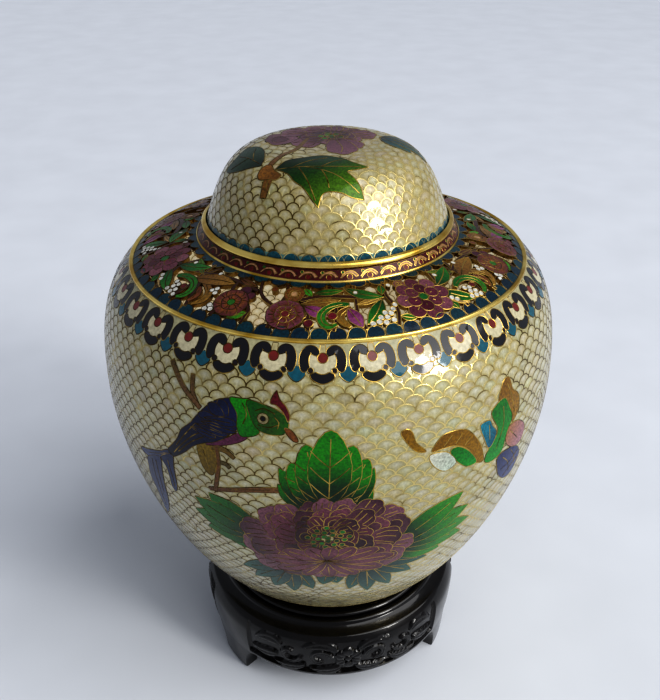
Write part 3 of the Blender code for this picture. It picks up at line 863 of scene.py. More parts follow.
def make_body(covers):
    """The copper wall, its scaled ground outside and its lining inside."""
    inner = Wall(BODY.moved(-JAR_WALL))
    top = OPENWORK_LOW + 2.2
    share = inner.s[-1] / BODY.s[-1]
    outer_points = wall_points(BODY, np.linspace(0.3, top, 40), -SET_BACK)
    inner_points = wall_points(inner, np.linspace(top, 6, 30) * share, 0.12)
    foot_inside = JAR_FOOT_RADIUS - 2.6
    foot = [(POLE, JAR_BASE), (foot_inside, JAR_BASE), (foot_inside, jar_low.z),
            (JAR_FOOT_RADIUS - 0.3, jar_low.z), (JAR_FOOT_RADIUS, jar_low.z + 0.3)]
    bottom = [(JAR_FOOT_RADIUS, JAR_BASE + JAR_WALL), (POLE, JAR_BASE + JAR_WALL)]
    wall = turned("jar_copper_wall", foot + outer_points + inner_points + bottom)
    dress(wall, copper, "jar_enamel", "jar")

    scales = Scales(BODY, SCALES_LOW, SCALES_HIGH, seed=4)
    add_scale_work(BODY, scales, "body_scale", "jar_enamel", "#b0ac94", wires=2, seed=5, covers=covers)
    lining = Scales(inner, LINING_LOW, top * share - 3.5, seed=9)
    tints = scale_tints(len(lining.cells), seed=3, base="#e9e4d2", spread=0.03)
    stock = Stock()
    add_cells(stock, inner, lining.cells, tints, linear("#e8dfc6"), dish=-0.05, out=-0.02, shrink=0.075,
              inwards=True)
    stock.piece("jar_lining", lining_enamel, "jar_enamel")


WHITE = linear("#fffdf2") * 1.15                 # opaque white among the coloured enamels
HEADS = 32                                      # of the cloud band
HEADS_AT = 169.3
BLACK = "#0d0a12"


def draw_heads():
    """One head of the cloud band: white trefoil, black hooks and drops, repeated round the jar."""
    sheet = Sheet(BODY, HEADS_AT)
    drawing = Drawing(sheet, step=1.1, count=HEADS, start=-1.35)
    half = drawing.half

    def up(points):
        """Points of the sheet, from points around the band's line."""
        return np.array(points, float) + (0, HEADS_AT)

    drawing.form(up(disc((0, 0), 1.75)), "#7c2218")
    for side in (-1, 1):
        drawing.form(up(disc((3.75 * side, -4.1), 0.95, 10)), "#1c0c0c")
    for side in (-1, 1):
        hook = smooth([(-2.7, 0.8), (-2.5, 1.9), (-3.6, 2.8), (-5.0, 2.3), (-5.85, 0.6), (-5.95, -1.6),
                       (-5.5, -3.3), (-4.9, -4.2)], closed=False) * (side, 1)
        widths = np.interp(np.linspace(0, 1, len(hook)), (0, 0.06, 0.3, 0.55, 0.88, 1),
                           (2.0, 3.0, 3.0, 3.2, 3.1, 1.9))
        drawing.form(up(ribbon(hook, widths)), BLACK)
    crescent = smooth([(-2.9, -4.9), (-2.1, -6.1), (0, -6.8), (2.1, -6.1), (2.9, -4.9)], closed=False)
    drawing.form(up(ribbon(crescent, np.interp(np.linspace(0, 1, len(crescent)), (0, 0.12, 0.5, 0.88, 1),
                                               (1.5, 2.6, 3.2, 2.6, 1.5)))), BLACK)
    for lobe, radius in (((0, -1.3), 2.7), ((-3.1, -0.8), 2.6), ((3.1, -0.8), 2.6), ((0, -3.2), 2.5)):
        drawing.form(up(disc(lobe, radius, 16)), "#dad1ae", bare=lobe != (0, -3.2))
    drawing.form(up([(-0.9, 4.4), (-1.3, 0), (1.3, 0), (0.9, 4.4)]), "#c2b688")
    for side in (-1, 1):
        drop = up(smooth([(half * side, -2.6), (half * side - 2.2, -4.2), (half * side - 2.6, -5.8),
                          (half * side, -7.9), (half * side + 2.6, -5.8), (half * side + 2.2, -4.2)],
                         tips=(0,)))
        drawing.form(np.clip(drop, (-half, 0), (half, math.inf)), "#086072")
    drawing.form(up([(-half, -4.6), (half, -4.6), (half, 5.2), (-half, 5.2)]), "#b9b48e", bare=True)
    return drawing


def patch(drawing, places, codes, *lines, ends=None, tips=()):
    """A smooth form through places; its colours run between the ends, or from its first place across."""
    at = drawing.sheet.at
    outline = smooth(at(*places), tips=tips)
    start, end = at(*ends) if ends else (outline[0], outline[len(outline) // 2])
    drawing.form(outline, shade(start, end, *codes), *(at(*line) for line in lines))


def twig(drawing, points, widths, *codes, wired=True):
    """A branch or leg along a curve, from one width to another."""
    path = smooth(points, closed=False)
    lines = [path[1:-1:4]] if wired else []
    drawing.form(ribbon(path, np.linspace(*widths, len(path))), shade(path[0], path[-1], *codes), *lines)


def blades(drawing, base, tips, width, *codes):
    """Leaf lobes from one base to several tips, nearest first, each with a vein."""
    for tip in tips:
        drawing.form(blade(base, tip, width, full=0.55, point=0.9), shade(base, tip, *codes),
                     between(base, tip, 0.25, 0.5, 0.82))


def draw_petals(drawing, middle, reach_at, reaches, rings, rng, near=16.0):
    """A peony's petals, ring by ring from the heart out, as far as the reach given for each angle."""
    middle = np.array(middle, float)
    for share, count, lobes, *codes in rings:
        for i in range(count):
            angle = 360 * (i + share * 2.3 + rng.uniform(-0.16, 0.16)) / count % 360
            reach = np.interp(angle, reach_at, reaches) * share * rng.uniform(0.9, 1.06)
            way = direction(angle)
            left = np.array([-way[1], way[0]])
            base, tip = middle + way * max(reach - near, near / 8), middle + way * reach
            width = 1.35 * math.tau / count * reach * 0.86 * rng.uniform(0.9, 1.12)
            dark, light = codes if i % 3 else codes[::-1]
            if i % 2:
                inner = fan_petal(base + (tip - base) * 0.3 + left * width * 0.08,
                                  base + (tip - base) * 0.8, width * 0.5, 1)
                drawing.form(inner, shade(base, tip, codes[0], codes[0], light))
                drawing.form(fan_petal(base, tip, width, lobes), shade(base, tip, dark, light))
            else:
                side = rng.choice((-1, 1))
                veins = [np.array([base + (tip - base) * 0.2 + left * width * 0.04 * k,
                                   base + (tip - base) * 0.55 + left * width * (0.17 * k + 0.07 * side),
                                   base + (tip - base) * 0.85 + left * width * 0.2 * k])
                         for k in (-1.1, 0.2, 1.3)]
                drawing.form(fan_petal(base, tip, width, lobes), shade(base, tip, dark, light), *veins)


def draw_stamens(drawing, middle, spread, count):
    """The green heart of a peony."""
    for i in range(count):
        angle, out = 2.4 * i, spread * 1.3 * math.sqrt(i)
        place = middle + np.array([1.25 * out * math.cos(angle), out * math.sin(angle)])
        drawing.form(disc(place, spread, 9), ("#186a1c", "#249030", "#0c4f18")[i % 3])


def draw_flower():
    """The large peony with its leaves and the branch behind it."""
    sheet = Sheet(BODY, 97)
    drawing = Drawing(sheet)
    rng = random.Random(3)
    middle = sheet.at((-0.5, 97))[0]
    at = sheet.at
    heart = at((-0.8, 82))[0]
    for tip in at((0.4, 91.5), (-5.5, 90.5), (6.2, 90.5), (-11.5, 88), (12, 88.5), (-17, 81), (16.5, 82),
                  (-14, 73.5), (14, 74), (-7, 70), (7.5, 70.5), (0, 69)):
        drawing.form(fan_petal(heart, tip, 7.6, 1), shade(heart, tip, "#4a1c2c", "#965868", "#7a4250"),
                     between(heart, tip, 0.35, 0.6, 0.85))
    draw_stamens(drawing, middle, 1.05, 22)
    draw_petals(drawing, middle, (0, 45, 90, 135, 170, 207, 225, 252, 283, 311, 325, 341, 360),
                (33, 26, 21, 25, 33, 39, 37, 31, 31, 33, 36, 35, 33),
                ((0.36, 8, 2, "#34101e", "#6e2c3e"), (0.55, 11, 3, "#3a1222", "#7e3c4e"),
                 (0.77, 14, 3, "#481c2c", "#945264"), (1.0, 17, 3, "#522434", "#a06878")), rng)
    dark, deep, bright = "#030f12", "#054006", "#24a008"
    root = at((-0.6, 111))[0]
    for tip, width in (((0.4, 145.5), 14.5), ((-4.8, 140), 11.0), ((5.0, 139.5), 10.5), ((8.0, 134), 9.0),
                       ((-8.0, 132.5), 9.0)):
        tip = at(tip)[0]
        foot = root + (0.35 * (tip[0] - root[0]), 1.5)
        way = tip - foot
        left = left_of(way)
        veins = [foot + way * np.array([[0.1], [0.5], [0.9]])]
        veins += [np.array([foot + way * share, foot + way * (share + 0.1) + left * width * 0.24 * side,
                            foot + way * (share + 0.2) + left * width * 0.44 * side])
                  for share in (0.16, 0.36, 0.56) for side in (-1, 1)]
        drawing.form(blade(foot, tip, width, full=0.5, point=0.55),
                     shade(foot, tip, dark, deep, bright, bright), *veins)
    blades(drawing, at((-4, 111))[0], at((-10.6, 130), (-11, 123)), 7.0, dark, deep, bright)
    blades(drawing, at((4.5, 111))[0], at((9.4, 130), (9.2, 121)), 6.5, dark, deep, bright)
    blades(drawing, at((-15, 94))[0], at((-32.5, 106.5), (-28, 111.5), (-33.5, 99), (-31, 91), (-25, 86.5)),
           12.0, dark, deep, "#15780c", "#2a8a2c")
    blades(drawing, at((14, 88))[0], at((32, 108.5), (35, 99), (37, 90), (36, 82), (30, 76)),
           12.5, dark, deep, bright, "#48b01c")
    for base, tips in (((-10, 78), ((-24.5, 68.5), (-22, 61), (-17, 54.5), (-11, 52), (-5, 56.5))),
                       ((0, 77), ((-2, 62), (2, 63))),
                       ((9, 80), ((27, 72.5), (23.5, 64), (18, 55), (11.5, 51.5), (5.5, 56)))):
        blades(drawing, at(base)[0], at(*tips), 8.5, dark, "#0c4c44", "#2a7a62")
    twig(drawing, at((-8, 121), (-15.5, 119.2), (-21, 116.8), (-27.5, 114)), (2.6, 1.5), "#9a6c34", "#7a4a24")
    return drawing


def draw_back_spray():
    """A smaller, plainer peony spray on the jar's far side, with plum blossom on its branch."""
    sheet = Sheet(BODY, 112)
    at, drawing = sheet.at, Drawing(sheet, middle=180.0)
    rng = random.Random(12)
    middle = at((180, 108))[0]
    draw_stamens(drawing, middle, 1.2, 10)
    draw_petals(drawing, middle, (0, 90, 180, 270, 360), (25, 21, 25, 20, 25),
                ((0.5, 8, 2, "#2e0d1f", "#6a3048"), (1.0, 12, 3, "#421a30", "#80506a")), rng)
    for azimuth, distance, radius in ((143, 146, 6.5), (160, 157, 5.5), (221, 138, 6.5), (236, 126, 5.0)):
        middle = at((azimuth, distance))[0]
        drawing.form(disc(middle, 1.3, 10), "#b08a2c")
        pink = shade(middle, middle + (radius, 0), "#d8b0b4", "#b0748a")
        for i in range(5):
            drawing.form(disc(middle + radius * 0.6 * direction(72 * i + azimuth), radius * 0.42), pink)
    for base, tips, width in (((180, 120), ((172, 143), (180, 147), (189, 142)), 11.0),
                              ((192, 108), ((205, 121), (209, 112), (207, 102)), 10.0),
                              ((168, 108), ((155, 120), (151, 110), (154, 101)), 10.0),
                              ((150, 140), ((133, 133), (137, 124)), 7.0),
                              ((216, 132), ((229, 147), (236, 140)), 7.0)):
        blades(drawing, at(base)[0], at(*tips), width, "#030f12", "#054006", "#1c8a08")
    for places in (((176, 118), (164, 136), (150, 142), (140, 152)), ((158, 139), (160, 150)),
                   ((184, 118), (203, 131), (222, 131), (240, 121))):
        twig(drawing, at(*places), (2.4, 1.5), "#9a6c34", "#7a4a24")
    return drawing


def draw_bird():
    """The bird on its branch."""
    sheet = Sheet(BODY, 138)
    at, drawing = sheet.at, Drawing(sheet)
    navy = ("#0c1645", "#14275e")
    drawing.form(disc(at((-13.8, 148.1))[0], 0.95, 10), "#120a08")
    drawing.form(disc(at((-13.8, 148.1))[0], 2.0), "#b9ab7c")
    patch(drawing, ((-9.2, 145.6), (-8, 145.2), (-6.8, 143), (-6.4, 140.9), (-7.4, 141), (-8.8, 143.5)),
          ["#9a5a22"])
    patch(drawing, ((-12.3, 153.8), (-11.8, 156.4), (-11, 158.2), (-10.3, 155.4), (-8.9, 153), (-8.1, 149.8),
                    (-8.5, 147.8), (-9.4, 150.8), (-11, 153.2)), ["#7a1f2a"], tips=(2,))
    patch(drawing, ((-17.5, 153.6), (-13.1, 152.8), (-9.9, 150.9), (-8.4, 148), (-8.5, 145.5), (-9.6, 143.1),
                    (-12.4, 142.6), (-14.8, 143.9), (-16.2, 147)), ("#14700c", "#3a600c", "#2a7410"),
          ((-15.5, 150.5), (-13.6, 151.6), (-11.2, 150.2)), ((-14.9, 145.6), (-12.6, 145.2), (-10.6, 146.4)),
          ((-11.3, 149), (-10.4, 147.3), (-10.7, 145)), ends=((-16, 148), (-9, 146)))
    patch(drawing, ((-21.5, 153.2), (-19, 153.9), (-16, 153.8), (-14.5, 150), (-15, 145), (-14.5, 143),
                    (-15.7, 141.3), (-18.6, 140.3), (-19.6, 143.7), (-19.6, 148.5)), ("#1fb00c", "#0e8c06"),
          ((-18.5, 152.5), (-17.4, 149), (-18.2, 145)), ends=((-20, 152), (-16, 142)))
    for tip, root, width in (((-19.4, 144.5), (-27.5, 144), 3.2), ((-19.6, 141.6), (-28.3, 142.2), 3.2),
                             ((-21.6, 139.6), (-29.5, 140.6), 3.0), ((-24.5, 137.6), (-31, 138.8), 2.8)):
        drawing.form(blade(*at(root, tip), width, full=0.7, point=0.6), shade(*at(root, tip), *navy),
                     at(root, tip))
    for tip, root, width in (((-26.5, 149.5), (-22.3, 146.5), 4.4), ((-24, 152), (-21.5, 147), 4.2),
                             ((-29, 144.5), (-24, 145), 3.6)):
        drawing.form(blade(*at(root, tip), width, full=0.6, point=0.6), shade(*at(root, tip), *navy[::-1]))
    patch(drawing, ((-20.5, 153), (-23.5, 152.3), (-25.6, 150.3), (-27.7, 147), (-29.6, 143.3),
                    (-31.5, 139.4), (-33.6, 136.2), (-34.9, 132), (-36.1, 129.2), (-38.5, 124.5),
                    (-37, 122.4), (-34.9, 124.5), (-32.5, 127.8), (-30, 131.6), (-27.3, 134), (-25, 135.5),
                    (-22.5, 138), (-20.7, 140.9), (-19.4, 143), (-19.2, 148)), ("#101c55", "#0a1030"),
          ((-26, 139.5), (-30, 136), (-34, 129.5), (-36.5, 124.5)), ((-27, 137), (-31, 132.5), (-35, 126)),
          ((-29.5, 141), (-32.5, 135), (-35.5, 128.5)), ends=((-21, 150), (-36, 126)))
    patch(drawing, ((-17.2, 140.6), (-18.4, 138.4), (-21.4, 136), (-24.6, 134.2), (-27.2, 133.6),
                    (-25.8, 136), (-22.1, 138.4), (-19.6, 141)), ["#7c345c"])
    patch(drawing, ((-41.5, 119), (-37.2, 123), (-37.4, 117.5), (-37.6, 111.5), (-37.9, 106.8), (-39, 103.5),
                    (-39.9, 106), (-39.8, 111), (-40.2, 115)), ("#10245c", "#24407a"),
          ((-39.2, 119), (-38.7, 111), (-38.9, 106)))
    patch(drawing, ((-47.4, 113.8), (-48.3, 109), (-49.3, 102.5), (-49, 96), (-49.4, 88), (-51, 78),
                    (-48, 83), (-45.6, 89.5), (-44, 96), (-43, 105), (-42.3, 111.5), (-42, 118.3)),
          ("#1a2f6c", "#33457e", "#5a6a9a"), ((-45.6, 114), (-46.2, 106), (-46.8, 96), (-48.2, 86)),
          ((-44, 115), (-44.4, 106), (-45.2, 97)))
    patch(drawing, ((-49.8, 115.8), (-45.8, 118.5), (-41.8, 121.2), (-38.5, 124.2), (-36.5, 123.5),
                    (-37.8, 121.2), (-41, 118.8), (-47.2, 114.2)), ("#4a5a90", "#1c2c60"),
          ((-46.5, 116.4), (-42, 119.8), (-38.8, 122.6)))
    for places, widths, code in (
            (((-24.6, 134.5), (-24.3, 127), (-25.2, 119), (-26, 113.5)), (1.5, 1.5), "#8a5a24"),
            (((-25.6, 133.6), (-22.5, 133.2), (-20.4, 130.8)), (2.6, 1.4), "#8a6a22"),
            (((-24.5, 127.5), (-22.6, 127.6), (-21.6, 126.2)), (1.5, 1.5), "#6a5a22")):
        twig(drawing, at(*places), widths, code, wired=False)
    patch(drawing, ((-29.6, 133), (-27.5, 134), (-24.6, 133), (-24.8, 126), (-26.3, 120.8), (-28.6, 124)),
          ("#a48410", "#7c620e"), ((-28, 131), (-27.4, 127), (-26.6, 123)), ends=((-29, 133), (-25, 121)))
    for places, start in ((((-28.4, 147), (-30.6, 149.5), (-33.5, 153), (-37.5, 160)), 1.8),
                          (((-29.2, 148.2), (-30.6, 152), (-31, 158)), 1.6)):
        twig(drawing, at(*places), (start, start * 1.1), "#94683a", "#7a6238", wired=False)
    return drawing


def draw_butterfly():
    """The butterfly at the right."""
    drawing = Drawing(Sheet(BODY, 130))
    ochre, green = ("#9a6c00", "#b4860a"), ("#128a1c", "#22b03a")
    for places, codes, *lines in (
            (((21.8, 131), (25, 130.8), (26.8, 129), (28.5, 124.6), (26, 122.2), (23.6, 124.5), (22, 128)),
             ("#fbfbe8", "#e2f0dc")),
            (((27, 130.8), (29, 130.8), (32, 127), (34.4, 121), (31.5, 120.8), (28.5, 125), (27, 128.5)),
             green),
            (((22.1, 132.2), (23.5, 136), (25.6, 138), (30.5, 137), (34, 131), (35.8, 125.3), (36.5, 119.8),
              (34, 121), (31.9, 127.5), (28.4, 131.6), (24.9, 132.3)), ochre,
             ((25, 133), (27, 136.5)), ((28, 132.5), (29.8, 136)), ((30.5, 130.5), (32, 133))),
            (((15, 142), (16.3, 143.2), (17.6, 141.5), (18.4, 137.5), (20.8, 133), (18.5, 133.8),
              (16.5, 137.5)), ochre),
            (((34.7, 135.8), (37.5, 136.3), (38.5, 133.5), (40, 130), (39.3, 125.8), (37.8, 124.4),
              (36.3, 129)),
             ("#18a0b8", "#14728c"), ((37.5, 134.5), (38, 128))),
            (((38, 138.5), (40, 141.5), (42.5, 142), (44, 138), (45.6, 132), (44, 126.5), (42.8, 119),
              (39.5, 117), (37, 119), (38, 124), (40, 127.5), (40.2, 131.5)), green,
             ((42, 139), (42.4, 131), (40.5, 122))),
            (((40.3, 142.3), (42, 148.5), (44.2, 149), (45.4, 143.7), (47.7, 140), (48.2, 134), (46, 129.5),
              (45.4, 133), (44, 138.5), (42.7, 142)), ochre, ((43.5, 147), (45, 141), (46.3, 134))),
            (((43.6, 127), (46.5, 129), (50, 126.7), (52.2, 122), (51, 116.3), (47.5, 117), (44.5, 121)),
             ("#c88a50", "#c890a0"), ((45.5, 126), (49, 120))),
            (((41.7, 117), (46, 117.6), (50, 115), (52.6, 109), (51.6, 101.8), (49, 100.2), (46, 102.8),
              (43.3, 108)),
             ("#1c2a6a", "#3a4c8c"), ((44, 115), (47, 110), (49, 103.5)), ((47, 116), (49.5, 111), (51, 106)),
             ((44.5, 108.5), (48, 109.5), (51.5, 113)), ((46.5, 103), (49, 106), (52, 108)))):
        patch(drawing, places, codes, *lines)
    return drawing


def lay_pieces(name, drawings, glaze, wire, slot, low=PICTURE_LOW, high=PICTURE_HIGH, weld=False, **how):
    """Lay drawings on their walls as one piece of enamel and one of wires."""
    enamel_stock, wire_stock = Stock(), Stock()
    for drawing in drawings:
        drawing.lay(enamel_stock, wire_stock, low, high, **how)
    enamel_stock.piece(name + "_enamel", glaze, slot, weld=weld)
    wire_stock.piece(name + "_wires", wire, slot)


def make_jar_pictures(heads, *pictures):
    """Lay the cloud band and the pictures on the jar."""
    lay_pieces("cloud_band", [heads], band_enamel, picture_wire, "jar_enamel", weld=True,
               width=0.4, dish=0.03, spacing=2.5)
    lay_pieces("picture", pictures, colour_enamel, picture_wire, "jar_enamel", width=0.36)


BORDER_LOW, BORDER_HIGH = 4.3, 3.7              # widths of the scalloped borders of the openwork
SPRAY_SPAN = 98.5                               # degrees that one spray is drawn for
SPRAYS = ((-68.7, 98.5), (29.8, 87.2), (117.0, 87.0), (204.0, 87.3))    # azimuth of its flower, its span
PLATE_LOW = -1.7                                # the openwork's inner face, from the wall
OPENWORK_ENAMEL_LOW = -0.2


def draw_spray(drawing, place):
    """One spray of the openwork: flowers, then leaves, scrolls and berries, then the stems behind.

    Its places are degrees round the jar from the large flower and millimetres up from the band's lower edge.
    """
    plum, rust, green = ("#6a2a40", "#9a566c"), ("#7a3a16", "#a4602a"), ("#0c2f14", "#1d7a22", "#3f9a2a")
    ochre, magenta = ("#7a4c12", "#b98a2f"), ("#8a2a6a", "#c06aa2")

    def petals(a, up, radius, count, codes, eye=None, turn=0.0):
        """A flower of two rings of petals."""
        middle = np.array(place(a, up))
        if eye:
            drawing.form(disc(middle, 1.5, 10), eye)
        for share, number in ((0.56, count - 1), (1.0, count)):
            for i in range(number):
                way = radius * share * direction(turn + 360 * (i + 1.7 * share) / number)
                width = 1.15 * math.tau / number * radius * share
                drawing.form(fan_petal(middle + 0.12 * way, middle + way, width, 2),
                             shade(middle, middle + way, *codes),
                             np.array([middle + way * share for share in (0.35, 0.6, 0.85)]))

    def leaf(start, end, width, codes, sway=0.0):
        """A leaf with one vein."""
        start, end = np.array(place(*start)), np.array(place(*end))
        outline = blade(start, end, width, full=0.5, point=0.9, sway=sway)
        spine = (outline[1:BLADE_PARTS] + outline[:-BLADE_PARTS:-1]) / 2
        drawing.form(outline, shade(start, end, *codes), spine[::2])

    def scroll(points, width, codes):
        """A curled leaf, fullest in its middle."""
        path = smooth([place(*point) for point in points], closed=False)
        t = np.linspace(0, 1, len(path))
        drawing.form(ribbon(path, width * (0.45 + 0.55 * np.sin(math.pi * np.clip(t * 1.1, 0, 1)) ** 0.5)),
                     shade(path[0], path[-1], *codes), path[2:-2:4])

    def berries(*places):
        """White berries."""
        for a, up in places:
            drawing.form(disc(place(a, up), 1.05, 8), WHITE)

    middle = np.array(place(0, 12.6))
    drawing.form(disc(middle, 1.7, 12), "#1f7a2a")
    for out, radius, number, turn, codes in ((4.2, 2.5, 6, 15, ("#7e3046", "#641a2e", "#84404e")),
                                             (7.2, 3.1, 8, 0, ("#884456", "#a0606e", "#7c3648"))):
        for i in range(number):
            lobe = middle + out * (direction(turn + 360 * i / number) * (1.06, 1))
            drawing.form(disc(lobe, radius, 16), codes[i % 3], [middle + (lobe - middle) * 0.8, lobe])
    petals(39.5, 10.5, 6.4, 6, (*rust, plum[0]), "#3f8a2a")
    petals(56.6, 9.4, 6.6, 6, (*rust[::-1], plum[1]), "#8a2f2f", 30)
    petals(57.5, 19.4, 4.0, 5, ("#b07a3a", "#8a4a1c"), "#e0b080")
    petals(93.5 - SPRAY_SPAN, 21.0, 2.6, 5, plum)
    for point, radius, code in (
            ((20.5, 9.6), 1.3, "#7a2020"), ((69.8, 9.2), 1.6, "#8f1f30"), ((61.2, 9.4), 1.7, "#7a4c12"),
            ((63.4, 6.0), 1.6, "#7a2030"), ((41.2, 17.4), 2.3, "#5a1f38"), ((44.0, 15.4), 1.8, "#6a2a3a"),
            ((50.4, 20.8), 1.4, "#8a4a1c")):
        drawing.form(disc(place(*point), radius, 12), code)
    scroll(((14, 11.8), (17, 13.8), (21.5, 13.4), (24, 10.2), (23.7, 6.7), (21.6, 4.6)), 3.0, green[1:])
    scroll(((75, 14.4), (70.5, 14.2), (67.2, 11), (66.8, 7.5), (68.6, 4.8), (71, 5.8)), 2.9, green[1:])
    berries((16.6, 9.8), (18.3, 9.1), (17.3, 7.5), (19.2, 6.9), (18.1, 5.3), (20.0, 4.9), (16.1, 5.6),
            (33.2, 4.9), (34.9, 5.5), (33.9, 6.9), (35.5, 7.4), (30.6, 13.0), (32.3, 12.3), (31.7, 14.4),
            (80.4, 5.0), (82.2, 5.4), (84.0, 4.9), (83.0, 7.1), (84.8, 6.9), (86.3, 5.5), (86.2, 8.4),
            (84.6, 8.9), (87.3, 10.0), (88.4, 11.8), (8.9, 8.3), (10.2, 6.9), (12.2, 20.6), (26.6, 21.6),
            (77.8, 20.2), (90.2, 22.0))
    leaf((74.4, 12.6), (77.7, 3.9), 5.0, magenta)
    leaf((61.6, 13.4), (68.5, 9.0), 5.2, magenta)
    leaf((60.4, 14.4), (72.5, 16.6), 3.8, ochre)
    scroll(((75.4, 12.6), (72.4, 10.4), (72.2, 7.2), (74.4, 4.6)), 2.8, ochre)
    leaf((85.4, 15.4), (79.0, 5.0), 5.2, green, 0.6)
    leaf((8.0, 15.4), (20.4, 22.4), 5.6, green, -0.5)
    leaf((8.2, 12.6), (16.9, 4.4), 4.8, green, -0.8)
    leaf((7.2, 8.8), (13.6, 3.9), 2.4, ("#c89a4a", "#e0c488"))
    leaf((74.0, 23.0), (86.4, 16.2), 5.0, green, -0.8)
    leaf((87.6, 23.2), (86.2, 17.6), 3.4, green)
    leaf((63.6, 20.2), (74.0, 21.8), 3.6, green)
    leaf((60.4, 22.8), (63.6, 18.6), 3.0, ("#2f9a2a", "#5ac83a"))
    leaf((41.0, 3.8), (45.8, 7.8), 3.2, ("#2f8a1c", "#6ac02a"))
    leaf((7.4, 7.6), (8.4, 3.4), 3.0, green)
    leaf((88.4, 6.6), (92.4, 4.4), 2.8, green[1:])
    leaf((21.4, 17.8), (10.6, 23.4), 3.2, ("#2f5a14", "#6a9a2a"))
    leaf((19.8, 13.8), (35.8, 19.2), 6.6, ochre, 1.6)
    scroll(((24.5, 15.5), (29.5, 12.6), (31.0, 8.4), (28.2, 4.6)), 2.8, ochre)
    scroll(((25.6, 12.4), (27.6, 9.2), (26.4, 5.2)), 2.2, rust)
    leaf((77.2, 13.8), (85.4, 16.2), 2.4, ("#b08030", "#d8b060"))
    leaf((34.8, 22.8), (44.0, 20.4), 3.0, ("#5a2a12", "#8a5a2a"))
    for width, *path in (
            (1.8, (60, 16.4), (66, 18.8), (74, 18.4), (81, 17.0)),
            (1.3, (7, 15.8), (18, 17.8), (27, 21.0), (36, 21.0), (45, 18.6)),
            (1.1, (12, 3.0), (11, 10), (9.4, 16), (12, 24.4)),
            (1.1, (27, 3.0), (25, 12), (22, 18), (24, 24.4)),
            (1.2, (36, 3.0), (37, 12), (36, 20), (37, 24.4)), (1.0, (44, 24.4), (47, 17), (53, 12)),
            (1.0, (45.4, 3.0), (45.8, 9), (43, 13)), (1.2, (53, 3.0), (54, 12), (55, 18), (54, 24.4)),
            (1.2, (63.4, 3.0), (63, 9), (61, 17), (61.6, 24.4)), (1.1, (78.4, 3.0), (77, 10), (78, 24.4)),
            (1.1, (87, 3.0), (88.6, 10), (87.4, 17), (89, 24.4)),
            (1.0, (20, 3.0), (21.8, 12), (20, 24.4)), (1.0, (70, 3.0), (71, 12), (69, 24.4))):
        twig(drawing, [place(*point) for point in path], (width, width), "#4a1f14", wired=False)


def make_shoulder():
    """The pierced shoulder: gilt sprays of flowers and leaves between two scalloped borders."""
    sheet = Sheet(BODY, OPENWORK_LOW + 9)
    enamel, wires, plate = Stock(), Stock(), Stock()
    for flower_at, span in SPRAYS:
        drawing = Drawing(sheet, step=1.1)

        def place(a, up):
            """A point of the sheet, from a place of the spray."""
            return (flower_at + a * span / SPRAY_SPAN) * sheet.scale, OPENWORK_LOW + up

        draw_spray(drawing, place)
        drawing.lay(enamel, wires, OPENWORK_ENAMEL_LOW, 0.06, width=0.4, plate=(plate, PLATE_LOW, 0.0))
    high = OPENWORK_LOW + OPENWORK_WIDTH
    for base, up, width, count, radius, ground, codes in (
            (OPENWORK_LOW, 1, BORDER_LOW, 76, 2.95, "#123a44", ("#0d3a50", "#104a58", "#0b3248", "#0f4456")),
            (high, -1, BORDER_HIGH, 48, 2.9, "#1d4a44", ("#0e3c56", "#104a58"))):
        border = Drawing(Sheet(BODY, base + up * width / 2), step=1.1, count=count // len(codes))
        half = border.half
        for i, code in enumerate(codes):
            x = half * ((2 * i + 1) / len(codes) - 1)
            scallop = disc((x, base + up * (width - radius)), min(radius, half / len(codes)), 18)
            scallop[:, 1] = np.maximum(scallop[:, 1] * up, base * up) * up
            border.form(scallop, code)
        edge = base + up * width * 0.45
        border.form([(-half, base), (half, base), (half, edge), (-half, edge)], ground, bare=True)
        border.lay(enamel, wires, OPENWORK_ENAMEL_LOW, 0.05, plate=(plate, PLATE_LOW, -0.02))
    plate.piece("shoulder_openwork_plates", copper, "jar_enamel")
    enamel.piece("shoulder_openwork_enamel", colour_enamel, "jar_enamel")
    wires.piece("shoulder_openwork_wires", picture_wire, "jar_enamel")


def rounded_ring(name, wall, low, width, height, slot, *nodes, out=0.0):
    """A gilt ring with a rounded face that follows a wall."""
    outline = [wall.profile(low + width * share, out + height * math.sin(math.pi * share) ** 0.7)
               for share in np.linspace(0, 1, 9)]
    outline += [wall.profile(low + width * share, -0.5) for share in (1, 0)]
    ring = turned(name, [(float(r), float(z)) for r, z in outline], closed=True)
    dress(ring, gilding, slot, *nodes)


